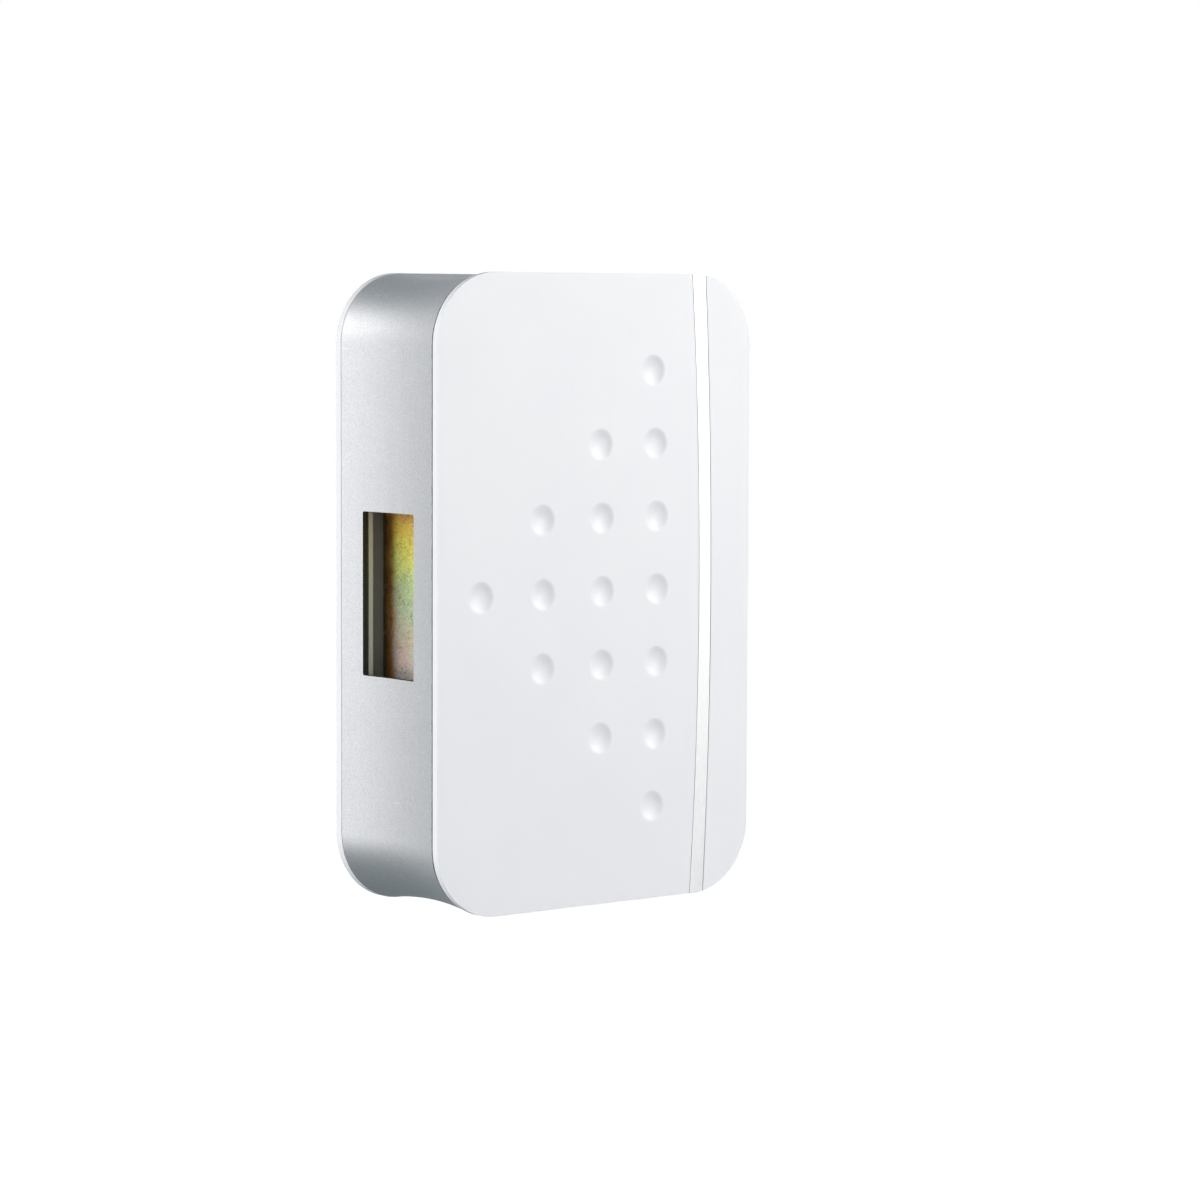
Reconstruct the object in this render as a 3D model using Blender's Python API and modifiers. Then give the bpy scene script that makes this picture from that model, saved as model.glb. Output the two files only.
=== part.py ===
"""A wired two-tone door chime: a white base, a sprung striker in a solenoid, two steel tone plates and a cover.

Every piece hangs under one empty whose axes are x to the right, y up the wall and z out of the wall, with its
origin on the wall at the middle of the base. In the scene that is +X, +Z and -Y.
"""

import math

import bmesh
import bpy
from mathutils import Matrix, Vector

# Overall sizes
WIDTH = 0.1194
HEIGHT = 0.1900
DEPTH = 0.0512
CORNER_RADIUS = 0.0215
JOINT_GAP = 0.0003

# Front panel
PANEL_THICKNESS = 0.0023
PANEL_EDGE = 0.0004
PANEL_RIB_WALL = 0.0015
PANEL_RIB_DEPTH = 0.0040
DIMPLE_DIAMETER = 0.0088
DIMPLE_DEPTH = 0.0010
DIMPLE_PITCH = 0.0221
DIMPLE_DROP = 0.0003
DIMPLE_BOW_RADIUS = 1.351
DIMPLE_COLUMNS = ((-0.0438, 1), (-0.0208, 3), (0.0018, 5), (0.0230, 7))

# Trim strip let into the panel
TRIM_X = 0.0398
TRIM_WIDTH = 0.0050
TRIM_THICKNESS = 0.0010
TRIM_SIDE_GAP = 0.0004
TRIM_INNER_BOW_RADIUS = 1.370
TRIM_OUTER_BOW_RADIUS = 1.667

# Waist ring between the base and the panel
WAIST_END_INSET = 0.0001
WAIST_SAG = 0.0018
WAIST_WALL = 0.0019
WINDOW_FRONT = 0.0376
WINDOW_REAR = 0.0120
WINDOW_HEIGHT = 0.0491
WINDOW_DROP = 0.0006
WINDOW_CORNER = 0.0006

# Base
BASE_THICKNESS = 0.0025
BASE_EDGE = 0.0004
RIM_WALL = 0.0015
KEYHOLE_UP = 0.0640
KEYHOLE_HEAD_DIAMETER = 0.0090
KEYHOLE_SLOT_WIDTH = 0.0045
KEYHOLE_SLOT_RISE = 0.0075
LOWER_SLOT_UP = -0.0760
LOWER_SLOT_LENGTH = 0.0095
CABLE_HOLE_UP = -0.0570
CABLE_HOLE_WIDTH = 0.0200
CABLE_HOLE_HEIGHT = 0.0120

# Tone plates
PLATE_INSET = 0.0122
PLATE_THICKNESS = 0.0025
PLATE_WIDTH = 0.0320
PLATE_LENGTH_LEFT = 0.1320
PLATE_LENGTH_RIGHT = 0.1180
PLATE_EDGE = 0.0003
PLATE_REAR = 0.0072
NODE_SHARE = 0.224
PLATE_HOLE_DIAMETER = 0.0070

# Rubber bushes and the screws through them
BUSH_FLANGE_DIAMETER = 0.0110
BUSH_FLANGE_THICKNESS = 0.0013
BUSH_NECK_DIAMETER = 0.0064
BUSH_BORE_DIAMETER = 0.0036
PLATE_SCREW_DIAMETER = 0.0030
PLATE_SCREW_HEAD_DIAMETER = 0.0070
PLATE_SCREW_HEAD_HEIGHT = 0.0020
PILLAR_THICKNESS = 0.0060
PILLAR_HEIGHT = 0.0110
PILLAR_ABOVE_AXIS = 0.0055

# Solenoid
BOBBIN_LENGTH = 0.0340
BOBBIN_FLANGE_SIZE = 0.0240
BOBBIN_FLANGE_THICKNESS = 0.0015
BOBBIN_TUBE_WALL = 0.00145
WINDING_BELOW_FLANGE = 0.0018
FRAME_THICKNESS = 0.0015
FRAME_WIDTH = 0.0220
FRAME_EAR_ABOVE_AXIS = 0.0110
FRAME_LUG = 0.0095
FRAME_ROD_CLEARANCE = 0.0006
FRAME_BOSS_DIAMETER = 0.0080
FRAME_SCREW_DIAMETER = 0.0030
FRAME_SCREW_HEAD_DIAMETER = 0.0058
FRAME_SCREW_HEAD_HEIGHT = 0.0018
FRAME_SCREW_LENGTH = 0.0070

# Striker
ROD_DIAMETER = 0.0060
ROD_RUNNING_CLEARANCE = 0.00015
ROD_LENGTH = 0.0520
STRIKE_GAP_LEFT = 0.0033
STRIKE_GAP_RIGHT = 0.0083
TIP_DIAMETER = 0.0044
TIP_LENGTH_LEFT = 0.0056
SPIGOT_DIAMETER = 0.0026
SPIGOT_LENGTH = 0.0040
COLLAR_LIP = 0.0018
COLLAR_THICKNESS = 0.0012
COLLAR_FROM_END = 0.0005
SPRING_WIRE_DIAMETER = 0.0006
SPRING_LOOSENESS = 0.00055
SPRING_TURNS = 7

# Terminal block and coil leads
BLOCK_UP = -0.0340
BLOCK_WIDTH = 0.0220
BLOCK_HEIGHT = 0.0100
BLOCK_DEPTH = 0.0090
BLOCK_PAD_DEPTH = 0.0035
BLOCK_PAD_MARGIN = 0.0010
WIRE_BORE_DIAMETER = 0.0034
WIRE_BORE_FROM_BACK = 0.0042
TERMINAL_X = 0.0068
TERMINAL_SCREW_DIAMETER = 0.0026
TERMINAL_SCREW_HEAD_DIAMETER = 0.0048
TERMINAL_SCREW_HEAD_HEIGHT = 0.0016
TERMINAL_WELL_DEPTH = 0.0022
BLOCK_SCREW_DIAMETER = 0.0026
BLOCK_SCREW_BITE = 0.0045
LEAD_DIAMETER = 0.0012
LEAD_IN_BLOCK = 0.0035

# Fits and facets
HOLE_CLEARANCE = 0.0002
SLOT_WIDTH = 0.0008
SLOT_DEPTH = 0.0008
CUT_MARGIN = 0.0010
CORNER_STEPS = 10
ROUND_STEPS = 24
BOW_STEPS = 20
WAIST_STEPS = 8
NOSE_STEPS = 4
COIL_STEPS = 12
DIMPLE_STEPS = (16, 26)
MERGE_DISTANCE = 1e-6

# Positions that follow from the sizes above
PANEL_BACK = DEPTH - PANEL_THICKNESS
WAIST_REAR = BASE_THICKNESS + JOINT_GAP
WAIST_FRONT = PANEL_BACK - JOINT_GAP
PLATE_OUTER_X = WIDTH / 2 - PLATE_INSET
PLATE_INNER_X = PLATE_OUTER_X - PLATE_THICKNESS
AXIS_OUT = PLATE_REAR + PLATE_WIDTH / 2
BUSH_INNER_X = PLATE_INNER_X - JOINT_GAP - BUSH_FLANGE_THICKNESS
BUSH_LENGTH = PLATE_THICKNESS + 2 * (JOINT_GAP + BUSH_FLANGE_THICKNESS)
PILLAR_OUTER_X = BUSH_INNER_X - JOINT_GAP
PLATE_SCREW_X = BUSH_INNER_X + BUSH_LENGTH + JOINT_GAP
PLATE_SCREW_LENGTH = PLATE_SCREW_X - PILLAR_OUTER_X + PILLAR_THICKNESS - CUT_MARGIN
FRAME_FRONT = AXIS_OUT - BOBBIN_FLANGE_SIZE / 2 - JOINT_GAP
FRAME_BACK = FRAME_FRONT - FRAME_THICKNESS
EAR_INNER_X = BOBBIN_LENGTH / 2 + JOINT_GAP
EAR_OUTER_X = EAR_INNER_X + FRAME_THICKNESS
FRAME_SCREW_X = EAR_OUTER_X + FRAME_LUG / 2
ROD_START_X = -PLATE_INNER_X + STRIKE_GAP_LEFT + TIP_LENGTH_LEFT + JOINT_GAP
ROD_END_X = ROD_START_X + ROD_LENGTH
TIP_LENGTH_RIGHT = PLATE_INNER_X - STRIKE_GAP_RIGHT - ROD_END_X - JOINT_GAP
COLLAR_X = ROD_START_X + COLLAR_FROM_END
BLOCK_BACK = BASE_THICKNESS + BLOCK_PAD_DEPTH + JOINT_GAP
BLOCK_FRONT = BLOCK_BACK + BLOCK_DEPTH
WIRE_OUT = BLOCK_BACK + WIRE_BORE_FROM_BACK

BOBBIN_BORE_DIAMETER = ROD_DIAMETER + 2 * ROD_RUNNING_CLEARANCE
BOBBIN_TUBE_DIAMETER = BOBBIN_BORE_DIAMETER + 2 * BOBBIN_TUBE_WALL
WINDING_DIAMETER = BOBBIN_FLANGE_SIZE - 2 * WINDING_BELOW_FLANGE
COLLAR_DIAMETER = ROD_DIAMETER + 2 * COLLAR_LIP
SPRING_MEAN_DIAMETER = ROD_DIAMETER + 2 * SPRING_LOOSENESS + SPRING_WIRE_DIAMETER

# Turns that lay a piece's own z axis along the striker
ALONG_RIGHT = (0, math.pi / 2, 0)
ALONG_LEFT = (0, -math.pi / 2, 0)

WHITE_PLASTIC = ((0.86, 0.87, 0.90), 0.30, 0.0)
CREAM_PLASTIC = ((0.80, 0.78, 0.72), 0.45, 0.0)
BLACK_PLASTIC = ((0.03, 0.03, 0.03), 0.50, 0.0)
NATURAL_NYLON = ((0.82, 0.80, 0.72), 0.45, 0.0)
SILVER_PAINT = ((0.56, 0.56, 0.58), 0.38, 0.6)
SATIN_TRIM = ((0.86, 0.86, 0.86), 0.35, 0.3)
YELLOW_ZINC = ((0.62, 0.50, 0.22), 0.35, 1.0)
BRIGHT_ZINC = ((0.66, 0.67, 0.68), 0.32, 1.0)
COPPER_ENAMEL = ((0.50, 0.18, 0.06), 0.35, 0.8)
SPRING_STEEL = ((0.55, 0.55, 0.56), 0.28, 1.0)
BLACK_RUBBER = ((0.02, 0.02, 0.02), 0.75, 0.0)
RED_SLEEVE = ((0.55, 0.04, 0.03), 0.45, 0.0)
BLUE_SLEEVE = ((0.03, 0.10, 0.45), 0.45, 0.0)


def clear_scene():
    for obj in list(bpy.data.objects):
        bpy.data.objects.remove(obj)


def make_collection(name):
    collection = bpy.data.collections.new(name)
    bpy.context.scene.collection.children.link(collection)
    return collection


def make_empty(name, parent, location=(0, 0, 0), rotation=(0, 0, 0)):
    empty = bpy.data.objects.new(name, None)
    empty.empty_display_size = 0.02
    empty.parent = parent
    empty.location = location
    empty.rotation_euler = rotation
    PARTS.objects.link(empty)
    return empty


def make_material(name, finish):
    colour, roughness, metallic = finish
    material = bpy.data.materials.new(name)
    material.use_nodes = True
    shader = material.node_tree.nodes["Principled BSDF"]
    shader.inputs["Base Color"].default_value = (*colour, 1)
    shader.inputs["Roughness"].default_value = roughness
    shader.inputs["Metallic"].default_value = metallic
    return material


def add_part(name, data, finish, parent, location=(0, 0, 0), rotation=(0, 0, 0)):
    part = bpy.data.objects.new(name, data)
    part.parent = parent
    part.location = location
    part.rotation_euler = rotation
    data.materials.append(make_material(name, finish))
    PARTS.objects.link(part)
    return part


def add_helper(name, mesh, parent, location=(0, 0, 0), rotation=(0, 0, 0)):
    """A shape that only cuts, joins or trims a part."""
    helper = bpy.data.objects.new(name, mesh)
    helper.parent = parent
    helper.location = location
    helper.rotation_euler = rotation
    helper.hide_render = True
    helper.display_type = "WIRE"
    CUTTERS.objects.link(helper)
    return helper


def combine(part, helper, operation):
    modifier = part.modifiers.new(helper.name, "BOOLEAN")
    modifier.solver = "EXACT"
    modifier.operation = operation
    modifier.object = helper


def bevel_edges(part, width, segments=2):
    modifier = part.modifiers.new("edge", "BEVEL")
    modifier.width = width
    modifier.segments = segments
    modifier.limit_method = "ANGLE"
    modifier.angle_limit = math.radians(40)


def mesh_from(name, build):
    """A mesh from a function that fills a bmesh."""
    work = bmesh.new()
    build(work)
    mesh = bpy.data.meshes.new(name)
    work.to_mesh(mesh)
    work.free()
    return mesh


def mesh_from_object(obj):
    """The evaluated mesh of an object, with loose caps welded. The object is removed."""
    graph = bpy.context.evaluated_depsgraph_get()
    mesh = bpy.data.meshes.new_from_object(obj.evaluated_get(graph))
    work = bmesh.new()
    work.from_mesh(mesh)
    bmesh.ops.remove_doubles(work, verts=work.verts, dist=MERGE_DISTANCE)
    bmesh.ops.recalc_face_normals(work, faces=work.faces)
    work.to_mesh(mesh)
    work.free()
    mesh.materials.clear()
    bpy.data.objects.remove(obj)
    return mesh


def block(low, high):
    """A box between two corners."""
    low = Vector(low)
    high = Vector(high)

    def build(work):
        made = bmesh.ops.create_cube(work, size=1)
        bmesh.ops.scale(work, vec=high - low, verts=made["verts"])
        bmesh.ops.translate(work, vec=(low + high) / 2, verts=made["verts"])

    return mesh_from("block", build)


def bar(radius, low, high, centre=(0, 0)):
    """A cylinder along z between two heights."""

    def build(work):
        made = bmesh.ops.create_cone(
            work, cap_ends=True, segments=ROUND_STEPS, radius1=radius, radius2=radius, depth=high - low
        )
        bmesh.ops.translate(work, vec=(*centre, (low + high) / 2), verts=made["verts"])

    return mesh_from("bar", build)


def arc(centre, radius, start, end, steps):
    """Points on a circle, from one angle in degrees to another."""
    angles = [math.radians(start + (end - start) * i / steps) for i in range(steps + 1)]
    return [(centre[0] + radius * math.cos(a), centre[1] + radius * math.sin(a)) for a in angles]


def circle(radius, centre=(0, 0)):
    return arc(centre, radius, 0, 360, ROUND_STEPS)[:-1]


def rounded_outline(inset):
    """The object's outline seen from the front, moved inwards by the inset."""
    reach_x = WIDTH / 2 - CORNER_RADIUS
    reach_y = HEIGHT / 2 - CORNER_RADIUS
    radius = CORNER_RADIUS - inset
    points = []
    for quarter, (side_x, side_y) in enumerate(((1, 1), (-1, 1), (-1, -1), (1, -1))):
        centre = (side_x * reach_x, side_y * reach_y)
        points += arc(centre, radius, 90 * quarter, 90 * quarter + 90, CORNER_STEPS)
    return points


def obround(length, width, centre):
    """A slot's outline with round ends, lying along x."""
    reach = (length - width) / 2
    right = arc((centre[0] + reach, centre[1]), width / 2, -90, 90, ROUND_STEPS // 2)
    left = arc((centre[0] - reach, centre[1]), width / 2, 90, 270, ROUND_STEPS // 2)
    return right + left


def curve_object(name, outlines, cyclic):
    curve = bpy.data.curves.new(name, "CURVE")
    for outline in outlines:
        spline = curve.splines.new("POLY")
        spline.points.add(len(outline) - 1)
        for point, place in zip(spline.points, outline):
            point.co = (*place, 0, 1) if len(place) == 2 else (*place, 1)
        spline.use_cyclic_u = cyclic
    obj = bpy.data.objects.new(name, curve)
    CUTTERS.objects.link(obj)
    return obj


def sheet(outlines, low, high):
    """A flat outline, with holes where outlines lie inside it, filled between two heights."""
    flat = curve_object("sheet", outlines, True)
    flat.data.dimensions = "2D"
    flat.data.fill_mode = "BOTH"
    flat.data.extrude = (high - low) / 2
    mesh = mesh_from_object(flat)
    mesh.transform(Matrix.Translation((0, 0, (low + high) / 2)))
    return mesh


def swept_loop(path, section):
    """A closed section carried round a closed flat path."""
    profile = curve_object("section", [section], True)
    profile.data.dimensions = "2D"
    loop = curve_object("loop", [path], True)
    loop.data.dimensions = "2D"
    loop.data.bevel_mode = "OBJECT"
    loop.data.bevel_object = profile
    mesh = mesh_from_object(loop)
    bpy.data.objects.remove(profile)
    return mesh


def turned(name, profile, closed=False):
    """A profile of (radius, height) points, down the outer side, turned about z."""
    mesh = bpy.data.meshes.new(name)
    edges = [(i, i + 1) for i in range(len(profile) - 1)]
    if closed:
        edges.append((len(profile) - 1, 0))
    mesh.from_pydata([(radius, 0, height) for radius, height in profile], edges, [])
    return mesh


def turn_it(part):
    modifier = part.modifiers.new("turn", "SCREW")
    modifier.steps = ROUND_STEPS
    modifier.render_steps = ROUND_STEPS
    modifier.use_merge_vertices = True
    modifier.merge_threshold = MERGE_DISTANCE
    modifier.use_smooth_shade = True


def add_turned(name, profile, finish, parent, location, rotation=(0, 0, 0), closed=False):
    part = add_part(name, turned(name, profile, closed), finish, parent, location, rotation)
    turn_it(part)
    return part


def smooth_path(points, steps):
    """Points along a smooth curve through the given ones."""
    places = [Vector(point) for point in points]
    places = [2 * places[0] - places[1], *places, 2 * places[-1] - places[-2]]
    path = []
    for a, b, c, d in zip(places, places[1:], places[2:], places[3:]):
        for step in range(steps):
            t = step / steps
            path.append(
                b + (c - a) * t / 2 + (2 * a - 5 * b + 4 * c - d) * t**2 / 2 + (3 * b - a - 3 * c + d) * t**3 / 2
            )
    path.append(places[-2])
    return [tuple(place) for place in path]


def add_wire(name, path, diameter, finish, parent, location=(0, 0, 0), rotation=(0, 0, 0)):
    wire = curve_object(name, [path], False)
    wire.data.dimensions = "3D"
    wire.data.bevel_depth = diameter / 2
    wire.data.bevel_resolution = 2
    wire.data.use_fill_caps = True
    wire.parent = parent
    wire.location = location
    wire.rotation_euler = rotation
    wire.data.materials.append(make_material(name, finish))
    CUTTERS.objects.unlink(wire)
    PARTS.objects.link(wire)
    return wire


def bowed(x, height, radius):
    """Where an upright arc that stands at x halfway up has got to at a height."""
    return x - height**2 / (2 * radius)


def waist_inset(out):
    """How far the waist ring's outer face lies inside the outline, at a distance from the wall."""
    middle = (WAIST_FRONT + WAIST_REAR) / 2
    share = (out - middle) / (WAIST_FRONT - middle)
    return WAIST_END_INSET + WAIST_SAG * (1 - share**2)


def inside_waist(out):
    """The inset that clears the waist ring's inner face there."""
    return waist_inset(out) + WAIST_WALL + JOINT_GAP


def node_heights(length):
    reach = length * (0.5 - NODE_SHARE)
    return (("upper", reach), ("lower", -reach))


def tone_sides():
    return (("left", -1, PLATE_LENGTH_LEFT), ("right", 1, PLATE_LENGTH_RIGHT))


def panel_blank(name, parent):
    blank = add_helper(name, sheet([rounded_outline(0)], PANEL_BACK, DEPTH), parent)
    bevel_edges(blank, PANEL_EDGE)
    return blank


def trim_band(side_gap, low, high):
    """The trim's bowed band, a little longer than the panel."""
    top = HEIGHT / 2 + CUT_MARGIN
    heights = [top - 2 * top * i / BOW_STEPS for i in range(BOW_STEPS + 1)]
    inner = [(bowed(TRIM_X, h, TRIM_INNER_BOW_RADIUS) - side_gap, h) for h in heights]
    outer = [(bowed(TRIM_X + TRIM_WIDTH, h, TRIM_OUTER_BOW_RADIUS) + side_gap, h) for h in heights]
    return sheet([inner + outer[::-1]], low, high)


def dimple_places():
    places = []
    for x, count in DIMPLE_COLUMNS:
        for i in range(count):
            height = (i - (count - 1) / 2) * DIMPLE_PITCH
            places.append((bowed(x, height, DIMPLE_BOW_RADIUS), height - DIMPLE_DROP))
    return places


def dimple_balls():
    """One ball for each dimple, sunk into the panel's face by the dimple's depth."""
    radius = ((DIMPLE_DIAMETER / 2) ** 2 + DIMPLE_DEPTH**2) / (2 * DIMPLE_DEPTH)

    def build(work):
        for x, height in dimple_places():
            ball = bmesh.ops.create_uvsphere(
                work, u_segments=DIMPLE_STEPS[0], v_segments=DIMPLE_STEPS[1], radius=radius
            )
            bmesh.ops.translate(work, vec=(x, height, DEPTH - DIMPLE_DEPTH + radius), verts=ball["verts"])

    return mesh_from("dimples", build)


def make_front_panel(parent):
    panel = add_part("front_panel", sheet([rounded_outline(0)], PANEL_BACK, DEPTH), WHITE_PLASTIC, parent)
    bevel_edges(panel, PANEL_EDGE)
    rib_rear = PANEL_BACK - PANEL_RIB_DEPTH
    inset = inside_waist(rib_rear)
    rib = sheet([rounded_outline(inset), rounded_outline(inset + PANEL_RIB_WALL)], rib_rear, PANEL_BACK + JOINT_GAP)
    combine(panel, add_helper("panel_rib", rib, parent), "UNION")
    groove = trim_band(TRIM_SIDE_GAP, DEPTH - TRIM_THICKNESS - JOINT_GAP, DEPTH + CUT_MARGIN)
    combine(panel, add_helper("trim_groove", groove, parent), "DIFFERENCE")
    combine(panel, add_helper("dimples", dimple_balls(), parent), "DIFFERENCE")


def make_trim_strip(parent):
    strip = add_part("trim_strip", trim_band(0, DEPTH - TRIM_THICKNESS, DEPTH + CUT_MARGIN), SATIN_TRIM, parent)
    combine(strip, panel_blank("trim_ends", parent), "INTERSECT")


def make_waist_ring(parent):
    outs = [WAIST_REAR + (WAIST_FRONT - WAIST_REAR) * i / WAIST_STEPS for i in range(WAIST_STEPS + 1)]
    outer = [(waist_inset(out), out) for out in outs]
    inner = [(waist_inset(out) + WAIST_WALL, out) for out in outs]
    ring = swept_loop(rounded_outline(0), outer + inner[::-1])
    waist = add_part("waist_ring", ring, SILVER_PAINT, parent)
    for name, side, _ in tone_sides():
        near = side * (WIDTH / 2 - PLATE_INSET + CUT_MARGIN)
        far = side * (WIDTH / 2 + CUT_MARGIN)
        window = block(
            (min(near, far), -WINDOW_DROP - WINDOW_HEIGHT / 2, WINDOW_REAR),
            (max(near, far), -WINDOW_DROP + WINDOW_HEIGHT / 2, WINDOW_FRONT),
        )
        cutter = add_helper("window_" + name, window, parent)
        bevel_edges(cutter, WINDOW_CORNER, 3)
        combine(waist, cutter, "DIFFERENCE")


def keyhole_outline():
    """A round hole for a screw's head with a narrower slot above it."""
    half_slot = KEYHOLE_SLOT_WIDTH / 2
    head_radius = KEYHOLE_HEAD_DIAMETER / 2
    meet = math.degrees(math.acos(half_slot / head_radius))
    head = arc((0, KEYHOLE_UP), head_radius, 180 - meet, 360 + meet, ROUND_STEPS)
    slot = arc((0, KEYHOLE_UP + KEYHOLE_SLOT_RISE), half_slot, 0, 180, ROUND_STEPS // 2)
    return head + slot


def cable_hole_outline():
    half = CABLE_HOLE_WIDTH / 2
    return [
        (-half, CABLE_HOLE_UP - CABLE_HOLE_HEIGHT / 2),
        (half, CABLE_HOLE_UP - CABLE_HOLE_HEIGHT / 2),
        (half, CABLE_HOLE_UP + CABLE_HOLE_HEIGHT / 2),
        (-half, CABLE_HOLE_UP + CABLE_HOLE_HEIGHT / 2),
    ]


def make_base_plate(parent):
    base = add_part("base_plate", sheet([rounded_outline(0)], 0, BASE_THICKNESS), WHITE_PLASTIC, parent)
    bevel_edges(base, BASE_EDGE)
    root = BASE_THICKNESS / 2
    inset = inside_waist(WINDOW_REAR)
    rim = sheet([rounded_outline(inset), rounded_outline(inset + RIM_WALL)], root, WINDOW_REAR)
    combine(base, add_helper("base_rim", rim, parent), "UNION")
    for side_name, side, length in tone_sides():
        for level, height in node_heights(length):
            add_pillar(base, parent, side_name + "_" + level, side, height)
    for side_name, side, _ in tone_sides():
        boss = bar(FRAME_BOSS_DIAMETER / 2, root, FRAME_BACK - JOINT_GAP, (side * FRAME_SCREW_X, 0))
        combine(base, add_helper("frame_boss_" + side_name, boss, parent), "UNION")
    pad = block(
        (-BLOCK_WIDTH / 2 - BLOCK_PAD_MARGIN, BLOCK_UP - BLOCK_HEIGHT / 2 - BLOCK_PAD_MARGIN, root),
        (BLOCK_WIDTH / 2 + BLOCK_PAD_MARGIN, BLOCK_UP + BLOCK_HEIGHT / 2 + BLOCK_PAD_MARGIN, BLOCK_BACK - JOINT_GAP),
    )
    combine(base, add_helper("block_pad", pad, parent), "UNION")
    cut_base_holes(base, parent)


def add_pillar(base, parent, name, side, height):
    """One upright that carries the inner end of a tone plate's bush screw."""
    near = side * (PILLAR_OUTER_X - PILLAR_THICKNESS)
    far = side * PILLAR_OUTER_X
    pillar = block(
        (min(near, far), height - PILLAR_HEIGHT / 2, BASE_THICKNESS / 2),
        (max(near, far), height + PILLAR_HEIGHT / 2, AXIS_OUT + PILLAR_ABOVE_AXIS),
    )
    combine(base, add_helper("pillar_" + name, pillar, parent), "UNION")
    reach = PILLAR_THICKNESS / 2 + CUT_MARGIN
    hole = bar(PLATE_SCREW_DIAMETER / 2 + HOLE_CLEARANCE, -reach, reach)
    middle = (side * (PILLAR_OUTER_X - PILLAR_THICKNESS / 2), height, AXIS_OUT)
    combine(base, add_helper("pillar_hole_" + name, hole, parent, middle, ALONG_RIGHT), "DIFFERENCE")


def cut_base_holes(base, parent):
    low = -CUT_MARGIN
    high = BASE_THICKNESS + CUT_MARGIN
    slot = obround(LOWER_SLOT_LENGTH, KEYHOLE_SLOT_WIDTH, (0, LOWER_SLOT_UP))
    openings = (("keyhole", keyhole_outline()), ("lower_slot", slot), ("cable_hole", cable_hole_outline()))
    for name, outline in openings:
        combine(base, add_helper(name, sheet([outline], low, high), parent), "DIFFERENCE")
    frame_hole_radius = FRAME_SCREW_DIAMETER / 2 + HOLE_CLEARANCE
    frame_hole_low = FRAME_FRONT + JOINT_GAP - FRAME_SCREW_LENGTH - CUT_MARGIN
    for side_name, side, _ in tone_sides():
        hole = bar(frame_hole_radius, frame_hole_low, FRAME_BACK + CUT_MARGIN, (side * FRAME_SCREW_X, 0))
        combine(base, add_helper("frame_hole_" + side_name, hole, parent), "DIFFERENCE")
    block_hole_low = BLOCK_BACK - JOINT_GAP - BLOCK_SCREW_BITE - JOINT_GAP
    hole = bar(BLOCK_SCREW_DIAMETER / 2 + HOLE_CLEARANCE, block_hole_low, BLOCK_BACK + CUT_MARGIN, (0, BLOCK_UP))
    combine(base, add_helper("block_screw_hole", hole, parent), "DIFFERENCE")


def make_tone_plate(side_name, side, length, parent):
    middle = (side * (PLATE_OUTER_X - PLATE_THICKNESS / 2), 0, AXIS_OUT)
    half = Vector((PLATE_THICKNESS / 2, length / 2, PLATE_WIDTH / 2))
    plate = add_part("tone_plate_" + side_name, block(-half, half), YELLOW_ZINC, parent, middle)
    bevel_edges(plate, PLATE_EDGE, 1)
    reach = PLATE_THICKNESS / 2 + CUT_MARGIN
    for level, height in node_heights(length):
        hole = bar(PLATE_HOLE_DIAMETER / 2, -reach, reach)
        place = (middle[0], height, AXIS_OUT)
        cutter = add_helper("plate_hole_" + side_name + "_" + level, hole, parent, place, ALONG_RIGHT)
        combine(plate, cutter, "DIFFERENCE")


def make_bush(name, side, height, parent):
    bore = BUSH_BORE_DIAMETER / 2
    flange = BUSH_FLANGE_DIAMETER / 2
    neck = BUSH_NECK_DIAMETER / 2
    step = BUSH_FLANGE_THICKNESS
    profile = [
        (bore, BUSH_LENGTH),
        (flange, BUSH_LENGTH),
        (flange, BUSH_LENGTH - step),
        (neck, BUSH_LENGTH - step),
        (neck, step),
        (flange, step),
        (flange, 0),
        (bore, 0),
    ]
    turn = ALONG_RIGHT if side > 0 else ALONG_LEFT
    add_turned("bush_" + name, profile, BLACK_RUBBER, parent, (side * BUSH_INNER_X, height, AXIS_OUT), turn, True)


def make_screw(name, head_diameter, head_height, shank_diameter, length, parent, location, rotation=(0, 0, 0)):
    """A pan head screw, its head's underside at its origin and its shank down its own z axis."""
    head = head_diameter / 2
    shank = shank_diameter / 2
    profile = [
        (0, head_height),
        (head * 0.75, head_height),
        (head, head_height * 0.6),
        (head, 0),
        (shank, 0),
        (shank, -length + shank / 2),
        (shank / 2, -length),
        (0, -length),
    ]
    screw = add_turned(name, profile, BRIGHT_ZINC, parent, location, rotation)
    slot = block(
        (-head - CUT_MARGIN, -SLOT_WIDTH / 2, head_height - SLOT_DEPTH),
        (head + CUT_MARGIN, SLOT_WIDTH / 2, head_height + CUT_MARGIN),
    )
    combine(screw, add_helper("slot_" + name, slot, parent, location, rotation), "DIFFERENCE")


def make_plate_mountings(parent):
    for side_name, side, length in tone_sides():
        make_tone_plate(side_name, side, length, parent)
        turn = ALONG_RIGHT if side > 0 else ALONG_LEFT
        for level, height in node_heights(length):
            name = side_name + "_" + level
            make_bush(name, side, height, parent)
            make_screw(
                "bush_screw_" + name,
                PLATE_SCREW_HEAD_DIAMETER,
                PLATE_SCREW_HEAD_HEIGHT,
                PLATE_SCREW_DIAMETER,
                PLATE_SCREW_LENGTH,
                parent,
                (side * PLATE_SCREW_X, height, AXIS_OUT),
                turn,
            )


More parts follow.
